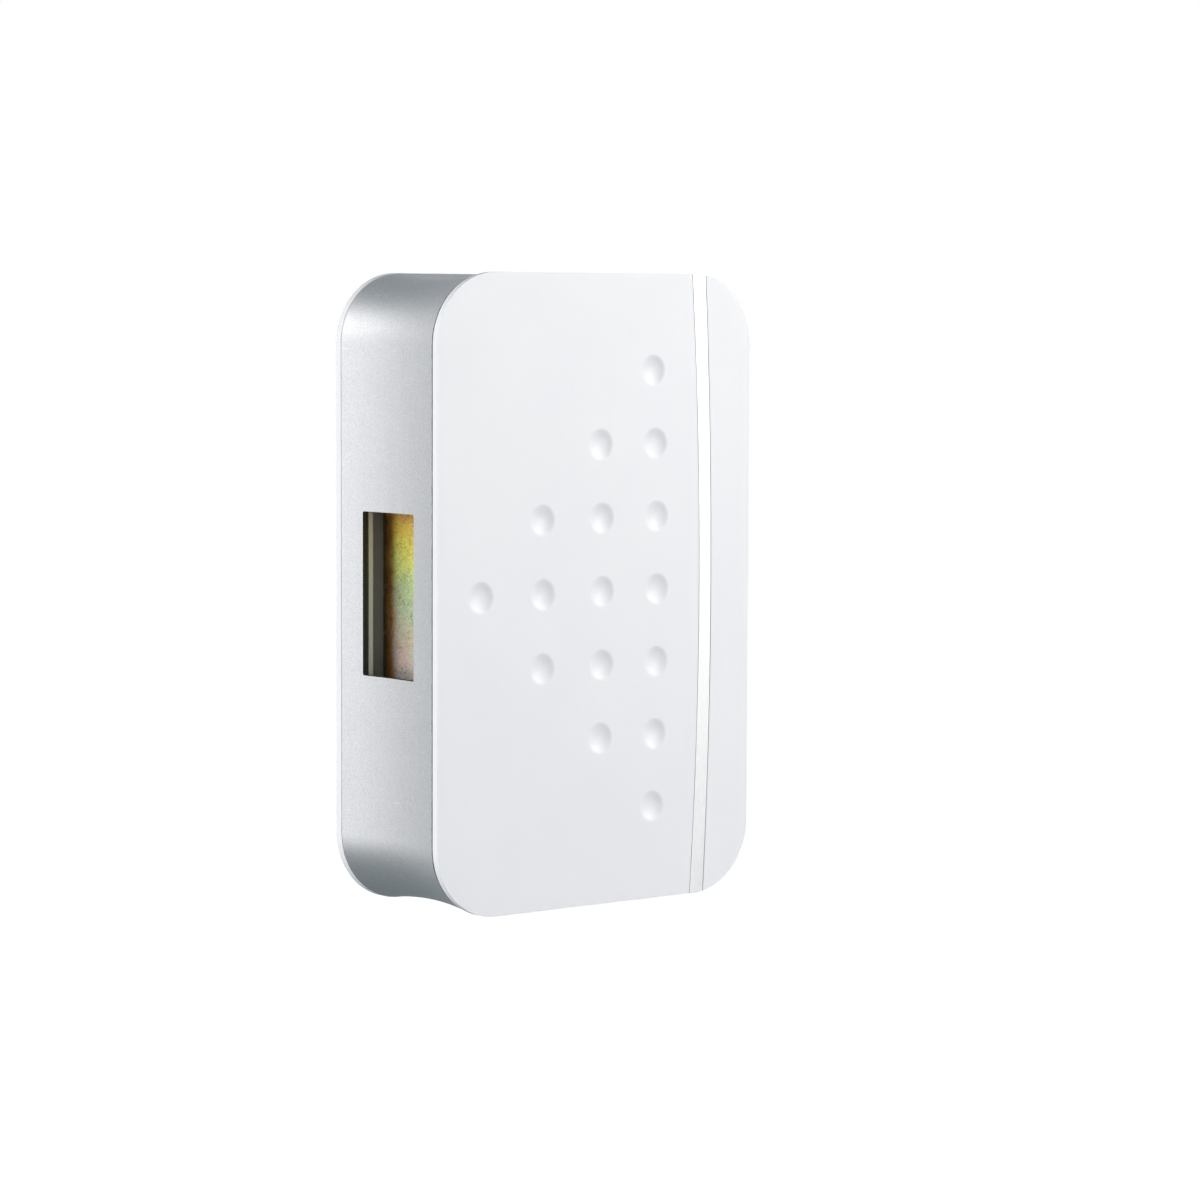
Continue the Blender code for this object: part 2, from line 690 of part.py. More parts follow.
def make_solenoid_frame(parent):
    """A bent steel strip: a back that is screwed down and two ears that hold the bobbin between them."""
    ear_top = AXIS_OUT + FRAME_EAR_ABOVE_AXIS
    lug_end = EAR_OUTER_X + FRAME_LUG
    outline = [
        (-lug_end, FRAME_BACK),
        (lug_end, FRAME_BACK),
        (lug_end, FRAME_FRONT),
        (EAR_OUTER_X, FRAME_FRONT),
        (EAR_OUTER_X, ear_top),
        (EAR_INNER_X, ear_top),
        (EAR_INNER_X, FRAME_FRONT),
        (-EAR_INNER_X, FRAME_FRONT),
        (-EAR_INNER_X, ear_top),
        (-EAR_OUTER_X, ear_top),
        (-EAR_OUTER_X, FRAME_FRONT),
        (-lug_end, FRAME_FRONT),
    ]
    section = sheet([outline], -FRAME_WIDTH / 2, FRAME_WIDTH / 2)
    frame = add_part("solenoid_frame", section, BRIGHT_ZINC, parent, (0, 0, 0), (math.pi / 2, 0, 0))
    reach = EAR_OUTER_X + CUT_MARGIN
    rod_hole = bar(ROD_DIAMETER / 2 + FRAME_ROD_CLEARANCE, -reach, reach)
    combine(frame, add_helper("rod_hole", rod_hole, parent, (0, 0, AXIS_OUT), ALONG_RIGHT), "DIFFERENCE")
    for side_name, side, _ in tone_sides():
        centre = (side * FRAME_SCREW_X, 0)
        hole = bar(
            FRAME_SCREW_DIAMETER / 2 + HOLE_CLEARANCE, FRAME_BACK - CUT_MARGIN, FRAME_FRONT + CUT_MARGIN, centre
        )
        combine(frame, add_helper("lug_hole_" + side_name, hole, parent), "DIFFERENCE")
        make_screw(
            "frame_screw_" + side_name,
            FRAME_SCREW_HEAD_DIAMETER,
            FRAME_SCREW_HEAD_HEIGHT,
            FRAME_SCREW_DIAMETER,
            FRAME_SCREW_LENGTH,
            parent,
            (*centre, FRAME_FRONT + JOINT_GAP),
        )


def make_coil(parent):
    half = BOBBIN_LENGTH / 2
    flange = BOBBIN_FLANGE_SIZE / 2
    tube = bar(BOBBIN_TUBE_DIAMETER / 2, -half + BOBBIN_FLANGE_THICKNESS / 2, half - BOBBIN_FLANGE_THICKNESS / 2)
    place = (0, 0, AXIS_OUT)
    bobbin = add_part("bobbin", tube, BLACK_PLASTIC, parent, place, ALONG_RIGHT)
    for name, low in (("left", -half), ("right", half - BOBBIN_FLANGE_THICKNESS)):
        cheek = block((-flange, -flange, low), (flange, flange, low + BOBBIN_FLANGE_THICKNESS))
        combine(bobbin, add_helper("cheek_" + name, cheek, parent, place, ALONG_RIGHT), "UNION")
    bore = bar(BOBBIN_BORE_DIAMETER / 2, -half - CUT_MARGIN, half + CUT_MARGIN)
    combine(bobbin, add_helper("bobbin_bore", bore, parent, place, ALONG_RIGHT), "DIFFERENCE")
    reach = half - BOBBIN_FLANGE_THICKNESS - JOINT_GAP
    turns = sheet([circle(WINDING_DIAMETER / 2), circle(BOBBIN_TUBE_DIAMETER / 2 + JOINT_GAP)], -reach, reach)
    add_part("coil_winding", turns, COPPER_ENAMEL, parent, place, ALONG_RIGHT)


def make_return_spring(parent):
    """A coil between the frame's left ear and the striker's collar."""
    start = COLLAR_X + COLLAR_THICKNESS + JOINT_GAP + SPRING_WIRE_DIAMETER / 2
    end = -EAR_OUTER_X - JOINT_GAP - SPRING_WIRE_DIAMETER / 2
    steps = SPRING_TURNS * COIL_STEPS
    reach = SPRING_MEAN_DIAMETER / 2
    path = []
    for i in range(steps + 1):
        angle = 2 * math.pi * SPRING_TURNS * i / steps
        path.append((reach * math.cos(angle), reach * math.sin(angle), (end - start) * i / steps))
    place = (start, 0, AXIS_OUT)
    add_wire("return_spring", path, SPRING_WIRE_DIAMETER, SPRING_STEEL, parent, place, ALONG_RIGHT)


def make_striker(parent):
    """The steel rod, a nylon tip on each end and the spring's collar. The parent lies on the rod's axis."""
    rod = bar(ROD_DIAMETER / 2, 0, ROD_LENGTH)
    rod_part = add_part("striker_rod", rod, BRIGHT_ZINC, parent, (ROD_START_X, 0, 0), ALONG_RIGHT)
    socket_depth = SPIGOT_LENGTH + JOINT_GAP
    for name, low in (("left", -CUT_MARGIN), ("right", ROD_LENGTH - socket_depth)):
        socket = bar(SPIGOT_DIAMETER / 2 + HOLE_CLEARANCE, low, low + socket_depth + CUT_MARGIN)
        cutter = add_helper("tip_socket_" + name, socket, parent, (ROD_START_X, 0, 0), ALONG_RIGHT)
        combine(rod_part, cutter, "DIFFERENCE")
    make_tip("striker_tip_left", TIP_LENGTH_LEFT, parent, ROD_START_X - JOINT_GAP, ALONG_LEFT)
    make_tip("striker_tip_right", TIP_LENGTH_RIGHT, parent, ROD_END_X + JOINT_GAP, ALONG_RIGHT)
    ring = sheet([circle(COLLAR_DIAMETER / 2), circle(BOBBIN_BORE_DIAMETER / 2)], 0, COLLAR_THICKNESS)
    add_part("spring_collar", ring, BRIGHT_ZINC, parent, (COLLAR_X, 0, 0), ALONG_RIGHT)


def make_tip(name, length, parent, x, turn):
    """A nylon pin with a round nose, its spigot pushed into the rod's end."""
    radius = TIP_DIAMETER / 2
    spigot = SPIGOT_DIAMETER / 2
    nose = [(r, length - radius + h) for r, h in arc((0, 0), radius, 90, 0, NOSE_STEPS)]
    profile = [(0, length), *nose[1:], (radius, 0), (spigot, 0), (spigot, -SPIGOT_LENGTH), (0, -SPIGOT_LENGTH)]
    add_turned(name, profile, NATURAL_NYLON, parent, (x, 0, 0), turn)


def make_terminal_block(parent):
    low = (-BLOCK_WIDTH / 2, BLOCK_UP - BLOCK_HEIGHT / 2, BLOCK_BACK)
    high = (BLOCK_WIDTH / 2, BLOCK_UP + BLOCK_HEIGHT / 2, BLOCK_FRONT)
    body = add_part("terminal_block", block(low, high), CREAM_PLASTIC, parent)
    bevel_edges(body, BASE_EDGE, 1)
    reach = BLOCK_HEIGHT / 2 + CUT_MARGIN
    well_floor = BLOCK_FRONT - TERMINAL_WELL_DEPTH
    for name, side, _ in tone_sides():
        x = side * TERMINAL_X
        bore = bar(WIRE_BORE_DIAMETER / 2, -reach, reach)
        place = (x, BLOCK_UP, WIRE_OUT)
        combine(body, add_helper("wire_bore_" + name, bore, parent, place, (math.pi / 2, 0, 0)), "DIFFERENCE")
        well = bar(TERMINAL_SCREW_HEAD_DIAMETER / 2 + JOINT_GAP, well_floor, BLOCK_FRONT + CUT_MARGIN, (x, BLOCK_UP))
        combine(body, add_helper("screw_well_" + name, well, parent), "DIFFERENCE")
        thread = bar(TERMINAL_SCREW_DIAMETER / 2 + HOLE_CLEARANCE, WIRE_OUT, well_floor + JOINT_GAP, (x, BLOCK_UP))
        combine(body, add_helper("screw_thread_" + name, thread, parent), "DIFFERENCE")
        wire_front = WIRE_OUT + LEAD_DIAMETER / 2
        make_screw(
            "terminal_screw_" + name,
            TERMINAL_SCREW_HEAD_DIAMETER,
            TERMINAL_SCREW_HEAD_HEIGHT,
            TERMINAL_SCREW_DIAMETER,
            well_floor - wire_front,
            parent,
            (x, BLOCK_UP, well_floor + JOINT_GAP),
        )
    make_block_screw(body, parent, well_floor)


def make_block_screw(body, parent, well_floor):
    """The screw that holds the terminal block to its pad, sunk in a well between the terminals."""
    well = bar(TERMINAL_SCREW_HEAD_DIAMETER / 2 + JOINT_GAP, well_floor, BLOCK_FRONT + CUT_MARGIN, (0, BLOCK_UP))
    combine(body, add_helper("fixing_well", well, parent), "DIFFERENCE")
    hole = bar(
        BLOCK_SCREW_DIAMETER / 2 + HOLE_CLEARANCE, BLOCK_BACK - CUT_MARGIN, well_floor + JOINT_GAP, (0, BLOCK_UP)
    )
    combine(body, add_helper("fixing_hole", hole, parent), "DIFFERENCE")
    make_screw(
        "block_screw",
        TERMINAL_SCREW_HEAD_DIAMETER,
        TERMINAL_SCREW_HEAD_HEIGHT,
        BLOCK_SCREW_DIAMETER,
        well_floor - BLOCK_BACK + JOINT_GAP + BLOCK_SCREW_BITE,
        parent,
        (0, BLOCK_UP, well_floor + JOINT_GAP),
    )


def make_coil_leads(parent):
    """Two sleeved leads from the bobbin's cheeks down to the terminal block's wire bores."""
    cheek_x = (BOBBIN_LENGTH - BOBBIN_FLANGE_THICKNESS) / 2
    cheek_foot = -BOBBIN_FLANGE_SIZE / 2 - 2 * JOINT_GAP
    block_top = BLOCK_UP + BLOCK_HEIGHT / 2
    for name, side, finish in (("left", -1, RED_SLEEVE), ("right", 1, BLUE_SLEEVE)):
        route = [
            (side * cheek_x, cheek_foot, AXIS_OUT - 0.004),
            (side * (cheek_x - 0.0005), cheek_foot - 0.004, AXIS_OUT - 0.006),
            (side * (cheek_x - 0.006), cheek_foot - 0.0095, WIRE_OUT + 0.0025),
            (side * TERMINAL_X, block_top + 0.0025, WIRE_OUT),
            (side * TERMINAL_X, block_top - LEAD_IN_BLOCK, WIRE_OUT),
        ]
        add_wire("coil_lead_" + name, smooth_path(route, 6), LEAD_DIAMETER, finish, parent)


clear_scene()
PARTS = make_collection("door_chime")
CUTTERS = make_collection("cutters")
WALL = make_empty("wall_face", None, rotation=(math.pi / 2, 0, 0))
COVER = make_empty("cover_slide", WALL)
STRIKER = make_empty("striker_slide", WALL, (0, 0, AXIS_OUT))

make_front_panel(COVER)
make_trim_strip(COVER)
make_waist_ring(COVER)
make_base_plate(WALL)
make_plate_mountings(WALL)
make_solenoid_frame(WALL)
make_coil(WALL)
make_return_spring(WALL)
make_striker(STRIKER)
make_terminal_block(WALL)
make_coil_leads(WALL)
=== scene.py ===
"""The looks of a wired two-tone door chime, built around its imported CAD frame.

Outlines are drawn as (x, up, out): x to the right, up the wall, and out from the wall towards the room.
In the frame that is +X, +Z and -Y.
"""

import math

import bmesh
import bpy
from mathutils import Matrix, Vector


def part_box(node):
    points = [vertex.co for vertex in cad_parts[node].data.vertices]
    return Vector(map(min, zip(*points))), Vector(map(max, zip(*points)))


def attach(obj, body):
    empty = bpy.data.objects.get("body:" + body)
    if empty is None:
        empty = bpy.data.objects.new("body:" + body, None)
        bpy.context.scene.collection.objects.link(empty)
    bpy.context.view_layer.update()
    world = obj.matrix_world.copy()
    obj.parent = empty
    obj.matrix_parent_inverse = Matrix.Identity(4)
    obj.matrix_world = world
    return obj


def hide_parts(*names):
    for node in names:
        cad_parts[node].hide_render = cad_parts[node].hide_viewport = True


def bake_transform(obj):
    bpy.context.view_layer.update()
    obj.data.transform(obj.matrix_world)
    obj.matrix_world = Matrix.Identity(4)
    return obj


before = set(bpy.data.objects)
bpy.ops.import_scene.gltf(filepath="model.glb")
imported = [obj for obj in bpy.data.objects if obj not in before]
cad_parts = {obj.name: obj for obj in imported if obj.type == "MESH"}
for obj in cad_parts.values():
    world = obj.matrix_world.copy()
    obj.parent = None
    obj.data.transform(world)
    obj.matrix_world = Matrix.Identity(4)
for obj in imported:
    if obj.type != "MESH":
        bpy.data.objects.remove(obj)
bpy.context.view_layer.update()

# Laid flat, a mesh is stood against the wall by this turn.
STAND_UP = Matrix.Rotation(math.pi / 2, 4, "X")
ALONG_X = Matrix.Rotation(math.pi / 2, 4, "Y")
AGAINST_X = Matrix.Rotation(-math.pi / 2, 4, "Y")

# Sizes read from the frame
panel_low, panel_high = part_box("front_panel")
ring_low, ring_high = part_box("waist_ring")
trim_low, trim_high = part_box("trim_strip")
plate_low, plate_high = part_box("tone_plate_left")
WIDTH = panel_high[0] - panel_low[0]
HEIGHT = panel_high[2] - panel_low[2]
DEPTH = -panel_low[1]
SLIVER = 0.00025  # the waist is drawn this much nearer to the base than the CAD's clear gap
WAIST_FRONT = -ring_low[1]
WAIST_REAR = -ring_high[1] - SLIVER

# Sizes that the frame's boxes don't hold
CORNER_RADIUS = 0.0215
JOINT_GAP = 0.0003
PANEL_THICKNESS = 0.0023
PANEL_EDGE = 0.0005
PANEL_RIB_WALL = 0.0015
PANEL_RIB_DEPTH = 0.0040
DIMPLE_DIAMETER = 0.0088
DIMPLE_DEPTH = 0.0008
DIMPLE_LIP = 0.0006
DIMPLE_BED_STEPS = 14
DIMPLE_LIP_STEPS = 6
DIMPLE_TURN_STEPS = 72
DIMPLE_LIP_LIFT = 0.00001
DIMPLE_SKIRT = 0.0005
DIMPLE_SKIRT_RISE = 0.00003
DIMPLE_PITCH = 0.0221
DIMPLE_DROP = 0.0003
DIMPLE_BOW_RADIUS = 1.351
DIMPLE_COLUMNS = ((-0.0438, 1), (-0.0208, 3), (0.0018, 5), (0.0230, 7))
TRIM_X = 0.0399
TRIM_WIDTH = 0.0048
TRIM_THICKNESS = trim_high[1] - trim_low[1]
TRIM_SIDE_GAP = 0.0001
TRIM_EASE = 0.00012
TRIM_INNER_BOW_RADIUS = 1.370
TRIM_OUTER_BOW_RADIUS = 1.667
WAIST_END_INSET = 0.0001
WAIST_SAG = 0.0018
WAIST_WALL = 0.0019
WINDOW_FRONT = 0.0376
WINDOW_REAR = 0.0120
WINDOW_HEIGHT = 0.0491
WINDOW_DROP = 0.0006
WINDOW_CORNER = 0.0006
WINDOW_LIP = 0.00030
WINDOW_CUT = 0.0110
CUT_MARGIN = 0.0010
MARK_DEPTH = 0.00015
WIDE_MARK_RADIUS = 0.0030
MARK_RADIUS = 0.0024
PANEL_MARKS = [(x, height) for x in (-0.036, 0.033) for height in (-0.070, 0, 0.070)]
BASE_MARKS = [(x, height) for x in (-0.030, 0.030) for height in (-0.080, -0.016, 0.016, 0.080)]

# Base, tone plates and works
BASE_THICKNESS = 0.0025
BASE_EDGE = 0.0004
RIM_WALL = 0.0015
KEYHOLE_UP = 0.0640
KEYHOLE_HEAD_DIAMETER = 0.0090
KEYHOLE_SLOT_WIDTH = 0.0045
KEYHOLE_SLOT_RISE = 0.0075
LOWER_SLOT_UP = -0.0760
LOWER_SLOT_LENGTH = 0.0095
CABLE_HOLE_UP = -0.0570
CABLE_HOLE_WIDTH = 0.0200
CABLE_HOLE_HEIGHT = 0.0120
AXIS_OUT = -(plate_low[1] + plate_high[1]) / 2
PLATE_HOLE_DIAMETER = 0.0070
PLATE_SCREW_DIAMETER = 0.0030
PILLAR_OUTER_X = 0.0431
PILLAR_THICKNESS = 0.0060
PILLAR_HEIGHT = 0.0110
PILLAR_ABOVE_AXIS = 0.0055
PILLAR_EDGE = 0.0005
FOOT_HALF_WIDTH = 0.0042
FOOT_PAST_PILLAR = 0.0012
FOOT_CORNER = 0.0014
FOOT_TOP = 0.0033
SMALL_CORNER = 0.0008
PAD_MARGIN = 0.0010
FRAME_BORE_FLOOR = 0.0032
BLOCK_BORE_FLOOR = 0.0012
SKIN_TOLERANCE = 0.0002
PLATE_CORNER = 0.0006
SOFT_EDGE = 0.0003
BOBBIN_FLANGE_THICKNESS = 0.0015
FRAME_BACK = 0.0094
FRAME_FRONT = 0.0109
FRAME_WIDTH = 0.0220
FRAME_ROD_CLEARANCE = 0.0006
FRAME_BOSS_DIAMETER = 0.0080
FRAME_SCREW_DIAMETER = 0.0030
FRAME_SCREW_X = 0.02355
EAR_INNER_X = 0.0173
EAR_OUTER_X = 0.0188
ROD_DIAMETER = 0.0060
SPRING_WIRE_DIAMETER = 0.0006
SPRING_TURNS = 7
BLOCK_UP = -0.0340
BLOCK_WIDTH = 0.0220
BLOCK_HEIGHT = 0.0100
BLOCK_BACK = 0.0063
BLOCK_SCREW_DIAMETER = 0.0026
WIRE_OUT = 0.0105
TERMINAL_X = 0.0068
LEAD_DIAMETER = 0.0012
HOLE_CLEARANCE = 0.0002
SLIDING_CLEARANCE = 0.00015
BOBBIN_TUBE_WALL = 0.00145
BOBBIN_CORNER = 0.0016
WIRE_SLOT_X = 0.0072
WIRE_SLOT_HALF_WIDTH = 0.0006
WIRE_SLOT_DEPTH = 0.0014
COIL_TURNS = 84
TIP_RADIUS = 0.0022
TIP_PEG = 0.0040

# How finely round shapes are drawn
CORNER_STEPS = 28
WAIST_STEPS = 28
BOW_STEPS = 64
ROUND_STEPS = 64
MERGE_DISTANCE = 1e-7


# -------- shapes


def new_object(name, mesh):
    piece = bpy.data.objects.new(name, mesh)
    bpy.context.scene.collection.objects.link(piece)
    return piece


def arc(centre, radius, start, end, steps):
    """Points on a circle, from one angle in degrees to another."""
    angles = [math.radians(start + (end - start) * i / steps) for i in range(steps + 1)]
    return [(centre[0] + radius * math.cos(a), centre[1] + radius * math.sin(a)) for a in angles]


def circle(radius, centre=(0, 0), steps=ROUND_STEPS):
    return arc(centre, radius, 0, 360, steps)[:-1]


def rounded_rectangle(half_x, half_y, radius, centre=(0, 0), steps=6):
    points = []
    for quarter, (side_x, side_y) in enumerate(((1, 1), (-1, 1), (-1, -1), (1, -1))):
        corner = (centre[0] + side_x * (half_x - radius), centre[1] + side_y * (half_y - radius))
        points += arc(corner, radius, 90 * quarter, 90 * quarter + 90, steps)
    return points


def rounded_outline(inset):
    """The object's outline seen from the front, moved inwards by the inset."""
    half_x, half_y = WIDTH / 2 - inset, HEIGHT / 2 - inset
    return rounded_rectangle(half_x, half_y, CORNER_RADIUS - inset, steps=CORNER_STEPS)


def applied(piece):
    """The piece's evaluated mesh, welded. The piece is removed."""
    graph = bpy.context.evaluated_depsgraph_get()
    mesh = bpy.data.meshes.new_from_object(piece.evaluated_get(graph))
    work = bmesh.new()
    work.from_mesh(mesh)
    bmesh.ops.remove_doubles(work, verts=work.verts, dist=MERGE_DISTANCE)
    bmesh.ops.recalc_face_normals(work, faces=work.faces)
    work.to_mesh(mesh)
    work.free()
    bpy.data.objects.remove(piece)
    return mesh


def flat_curve(outlines):
    curve = bpy.data.curves.new("outline", "CURVE")
    curve.dimensions = "2D"
    for outline in outlines:
        spline = curve.splines.new("POLY")
        spline.points.add(len(outline) - 1)
        for point, place in zip(spline.points, outline):
            point.co = (*place, 0, 1)
        spline.use_cyclic_u = True
    return new_object("outline", curve)


def sheet(outlines, low, high):
    """A flat outline, with holes where outlines lie inside it, filled between two heights."""
    flat = flat_curve(outlines)
    flat.data.fill_mode = "BOTH"
    flat.data.extrude = (high - low) / 2
    mesh = applied(flat)
    mesh.transform(Matrix.Translation((0, 0, (low + high) / 2)))
    return mesh


def swept_loop(path, section):
    """A closed section carried round a closed flat path."""
    profile = flat_curve([section])
    loop = flat_curve([path])
    loop.data.bevel_mode = "OBJECT"
    loop.data.bevel_object = profile
    mesh = applied(loop)
    bpy.data.objects.remove(profile)
    return mesh


def turned(profile, closed=False, steps=ROUND_STEPS):
    """A profile of (radius, height) points, down the outer side, turned about z."""
    mesh = bpy.data.meshes.new("turned")
    edges = [(i, i + 1) for i in range(len(profile) - 1)]
    if closed:
        edges.append((len(profile) - 1, 0))
    mesh.from_pydata([(radius, 0, height) for radius, height in profile], edges, [])
    piece = new_object("turned", mesh)
    modifier = piece.modifiers.new("turn", "SCREW")
    modifier.steps = steps
    modifier.render_steps = steps
    modifier.use_merge_vertices = True
    modifier.merge_threshold = MERGE_DISTANCE
    return applied(piece)


def box_mesh(low, high):
    work = bmesh.new()
    made = bmesh.ops.create_cube(work, size=1)
    low = Vector(low)
    high = Vector(high)
    bmesh.ops.scale(work, vec=high - low, verts=made["verts"])
    bmesh.ops.translate(work, vec=(low + high) / 2, verts=made["verts"])
    mesh = bpy.data.meshes.new("box")
    work.to_mesh(mesh)
    work.free()
    return mesh


def bevelled(mesh, width, segments=3, angle=40):
    piece = new_object("bevelled", mesh)
    modifier = piece.modifiers.new("edge", "BEVEL")
    modifier.width = width
    modifier.segments = segments
    modifier.limit_method = "ANGLE"
    modifier.angle_limit = math.radians(angle)
    return applied(piece)


def combined(mesh, others, operation):
    """The mesh joined with, cut by or kept inside the others, one after another."""
    for other in others:
        piece = new_object("combined", mesh)
        helper = new_object("helper", other)
        modifier = piece.modifiers.new("combine", "BOOLEAN")
        modifier.solver = "EXACT"
        modifier.operation = operation
        modifier.object = helper
        mesh = applied(piece)
        bpy.data.objects.remove(helper)
    return mesh


def merged(meshes):
    """Several meshes that don't touch, as one."""
    work = bmesh.new()
    for mesh in meshes:
        work.from_mesh(mesh)
    result = bpy.data.meshes.new("merged")
    work.to_mesh(result)
    work.free()
    return result


def smooth_where_shallow(mesh, degrees=32):
    """Smooth shading, with an edge kept sharp where its faces meet at more than that."""
    for polygon in mesh.polygons:
        polygon.use_smooth = True
    mesh.set_sharp_from_angle(angle=math.radians(degrees))


def finish_piece(name, mesh, materials, body, nodes=(), degrees=32):
    """Puts a laid-out mesh in the frame, shades it, and says what it rides on and stands for."""
    mesh.transform(STAND_UP)
    return finish_placed(name, mesh, materials, body, nodes, degrees)


def finish_placed(name, mesh, materials, body, nodes=(), degrees=32):
    mesh.materials.clear()
    for material in materials:
        mesh.materials.append(material)
    smooth_where_shallow(mesh, degrees)
    piece = new_object(name, mesh)
    weighted = piece.modifiers.new("normals", "WEIGHTED_NORMAL")
    weighted.keep_sharp = True
    if body:
        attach(piece, body)
    if nodes:
        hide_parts(*nodes)
    return piece


def bowed(x, height, radius):
    """Where an upright arc that stands at x halfway up has got to at a height."""
    return x - height**2 / (2 * radius)


def waist_inset(out):
    """How far the waist's outer face lies inside the outline, at a distance from the wall."""
    middle = (WAIST_FRONT + WAIST_REAR) / 2
    share = (out - middle) / (WAIST_FRONT - middle)
    return WAIST_END_INSET + WAIST_SAG * (1 - share**2)


# -------- materials


class Nodes:
    """Short calls for building one material's nodes."""

    def __init__(self, name):
        self.material = bpy.data.materials.new(name)
        self.material.use_nodes = True
        self.tree = self.material.node_tree
        self.shader = self.tree.nodes["Principled BSDF"]
        self.place = self.add("ShaderNodeTexCoord").outputs["Object"]

    def add(self, kind, **settings):
        node = self.tree.nodes.new(kind)
        for key, value in settings.items():
            setattr(node, key, value)
        return node

    def feed(self, socket, value):
        if hasattr(value, "is_output"):
            self.tree.links.new(value, socket)
        else:
            socket.default_value = value

    def stretched(self, scale):
        """Object coordinates scaled by a number for each axis."""
        node = self.add("ShaderNodeMapping")
        self.feed(node.inputs["Vector"], self.place)
        node.inputs["Scale"].default_value = scale
        return node.outputs["Vector"]

    def noise(self, scale, detail=2.0, roughness=0.5, vector=None, distortion=0.0):
        node = self.add("ShaderNodeTexNoise")
        self.feed(node.inputs["Vector"], vector or self.place)
        node.inputs["Scale"].default_value = scale
        node.inputs["Detail"].default_value = detail
        node.inputs["Roughness"].default_value = roughness
        node.inputs["Distortion"].default_value = distortion
        return node.outputs["Fac"]

    def cells(self, scale, feature="F1", output="Distance"):
        node = self.add("ShaderNodeTexVoronoi", feature=feature)
        self.feed(node.inputs["Vector"], self.place)
        node.inputs["Scale"].default_value = scale
        return node.outputs[output]

    def math(self, operation, first, second):
        node = self.add("ShaderNodeMath", operation=operation)
        self.feed(node.inputs[0], first)
        self.feed(node.inputs[1], second)
        return node.outputs[0]

    def spread(self, value, low, high, to_low=0.0, to_high=1.0):
        """The value carried from one range to another, and held inside it."""
        node = self.add("ShaderNodeMapRange")
        self.feed(node.inputs["Value"], value)
        for key, number in zip(("From Min", "From Max", "To Min", "To Max"), (low, high, to_low, to_high)):
            node.inputs[key].default_value = number
        return node.outputs["Result"]

    def axis(self, letter):
        node = self.add("ShaderNodeSeparateXYZ")
        self.feed(node.inputs[0], self.place)
        return node.outputs[letter]

    def ramp(self, value, stops):
        """Colours along a 0 to 1 value, as (place, (r, g, b)) pairs."""
        node = self.add("ShaderNodeValToRGB")
        elements = node.color_ramp.elements
        while len(elements) < len(stops):
            elements.new(0.5)
        for element, (place, colour) in zip(elements, stops):
            element.position = place
            element.color = (*colour, 1)
        self.feed(node.inputs["Fac"], value)
        return node.outputs["Color"]

    def mix(self, share, first, second, blend="MIX"):
        node = self.add("ShaderNodeMix", data_type="RGBA", blend_type=blend)
        self.feed(node.inputs[0], share)
        for socket, value in ((node.inputs[6], first), (node.inputs[7], second)):
            self.feed(socket, value if hasattr(value, "is_output") else (*value, 1))
        return node.outputs[2]

    def bump(self, height, distance, strength=1.0, normal=None):
        node = self.add("ShaderNodeBump")
        self.feed(node.inputs["Height"], height)
        node.inputs["Distance"].default_value = distance
        node.inputs["Strength"].default_value = strength
        if normal:
            self.feed(node.inputs["Normal"], normal)
        return node.outputs["Normal"]

    def finish(self, colour, roughness, metallic=0.0, normal=None, **plain):
        self.feed(self.shader.inputs["Base Color"], colour)
        self.feed(self.shader.inputs["Roughness"], roughness)
        self.feed(self.shader.inputs["Metallic"], metallic)
        if normal:
            self.feed(self.shader.inputs["Normal"], normal)
        for key, value in plain.items():
            self.shader.inputs[key.replace("_", " ")].default_value = value
        return self.material


def white_plastic():
    """Glossy white moulding: faint mottling, a fine orange peel and a very few grey specks."""
    n = Nodes("white_plastic")
    mottle = n.spread(n.noise(35, 3), 0.3, 0.7)
    colour = n.mix(mottle, (0.815, 0.815, 0.835), (0.835, 0.832, 0.848))
    specks = n.spread(n.cells(140), 0.018, 0.03, 1.0, 0.0)
    colour = n.mix(n.math("MULTIPLY", specks, 0.35), colour, (0.45, 0.44, 0.42))
    roughness = n.spread(n.noise(420, 2), 0.3, 0.7, 0.30, 0.37)
    peel = n.bump(n.noise(900, 2), 0.00002, 0.35)
    return n.finish(colour, roughness, 0.0, peel)


def silver_paint():
    """Metallic silver paint: fine flakes, a slightly uneven coat, and a ragged dark edge by the panel."""
    n = Nodes("silver_paint")
    flakes = n.cells(5000, output="Color")
    glint = n.add("ShaderNodeSeparateColor")
    n.feed(glint.inputs[0], flakes)
    cloud = n.noise(90, 3)
    tone = n.math("ADD", n.math("MULTIPLY", glint.outputs[0], 0.85), n.math("MULTIPLY", cloud, 0.15))
    colour = n.mix(tone, (0.63, 0.64, 0.65), (0.85, 0.85, 0.86))
    scratch = n.spread(n.noise(1.0, 1, 0.5, n.stretched((30, 90, 1500))), 0.785, 0.80)
    colour = n.mix(n.math("MULTIPLY", scratch, 0.6), colour, (1.0, 1.0, 1.0))
    ragged = n.math("MULTIPLY", n.math("SUBTRACT", n.noise(420, 3), 0.5), 0.0007)
    line_y = n.math("ADD", n.axis("Y"), ragged)
    masked = n.spread(line_y, ring_low[1] + 0.00022, ring_low[1] + 0.00034, 1.0, 0.0)
    colour = n.mix(masked, colour, (0.10, 0.10, 0.10))
    roughness = n.spread(glint.outputs[1], 0, 1, 0.36, 0.50)
    grain = n.bump(glint.outputs[2], 0.00003, 0.30)
    return n.finish(colour, roughness, 0.9, n.bump(n.noise(700, 2), 0.00002, 0.2, grain))


def dark_plastic():
    """The bare dark moulding inside the waist, green-black with a light tool texture."""
    n = Nodes("dark_plastic")
    colour = n.mix(n.noise(160, 3), (0.015, 0.016, 0.012), (0.030, 0.032, 0.024))
    return n.finish(colour, 0.55, 0.0, n.bump(n.noise(1500, 3), 0.00003, 0.4))


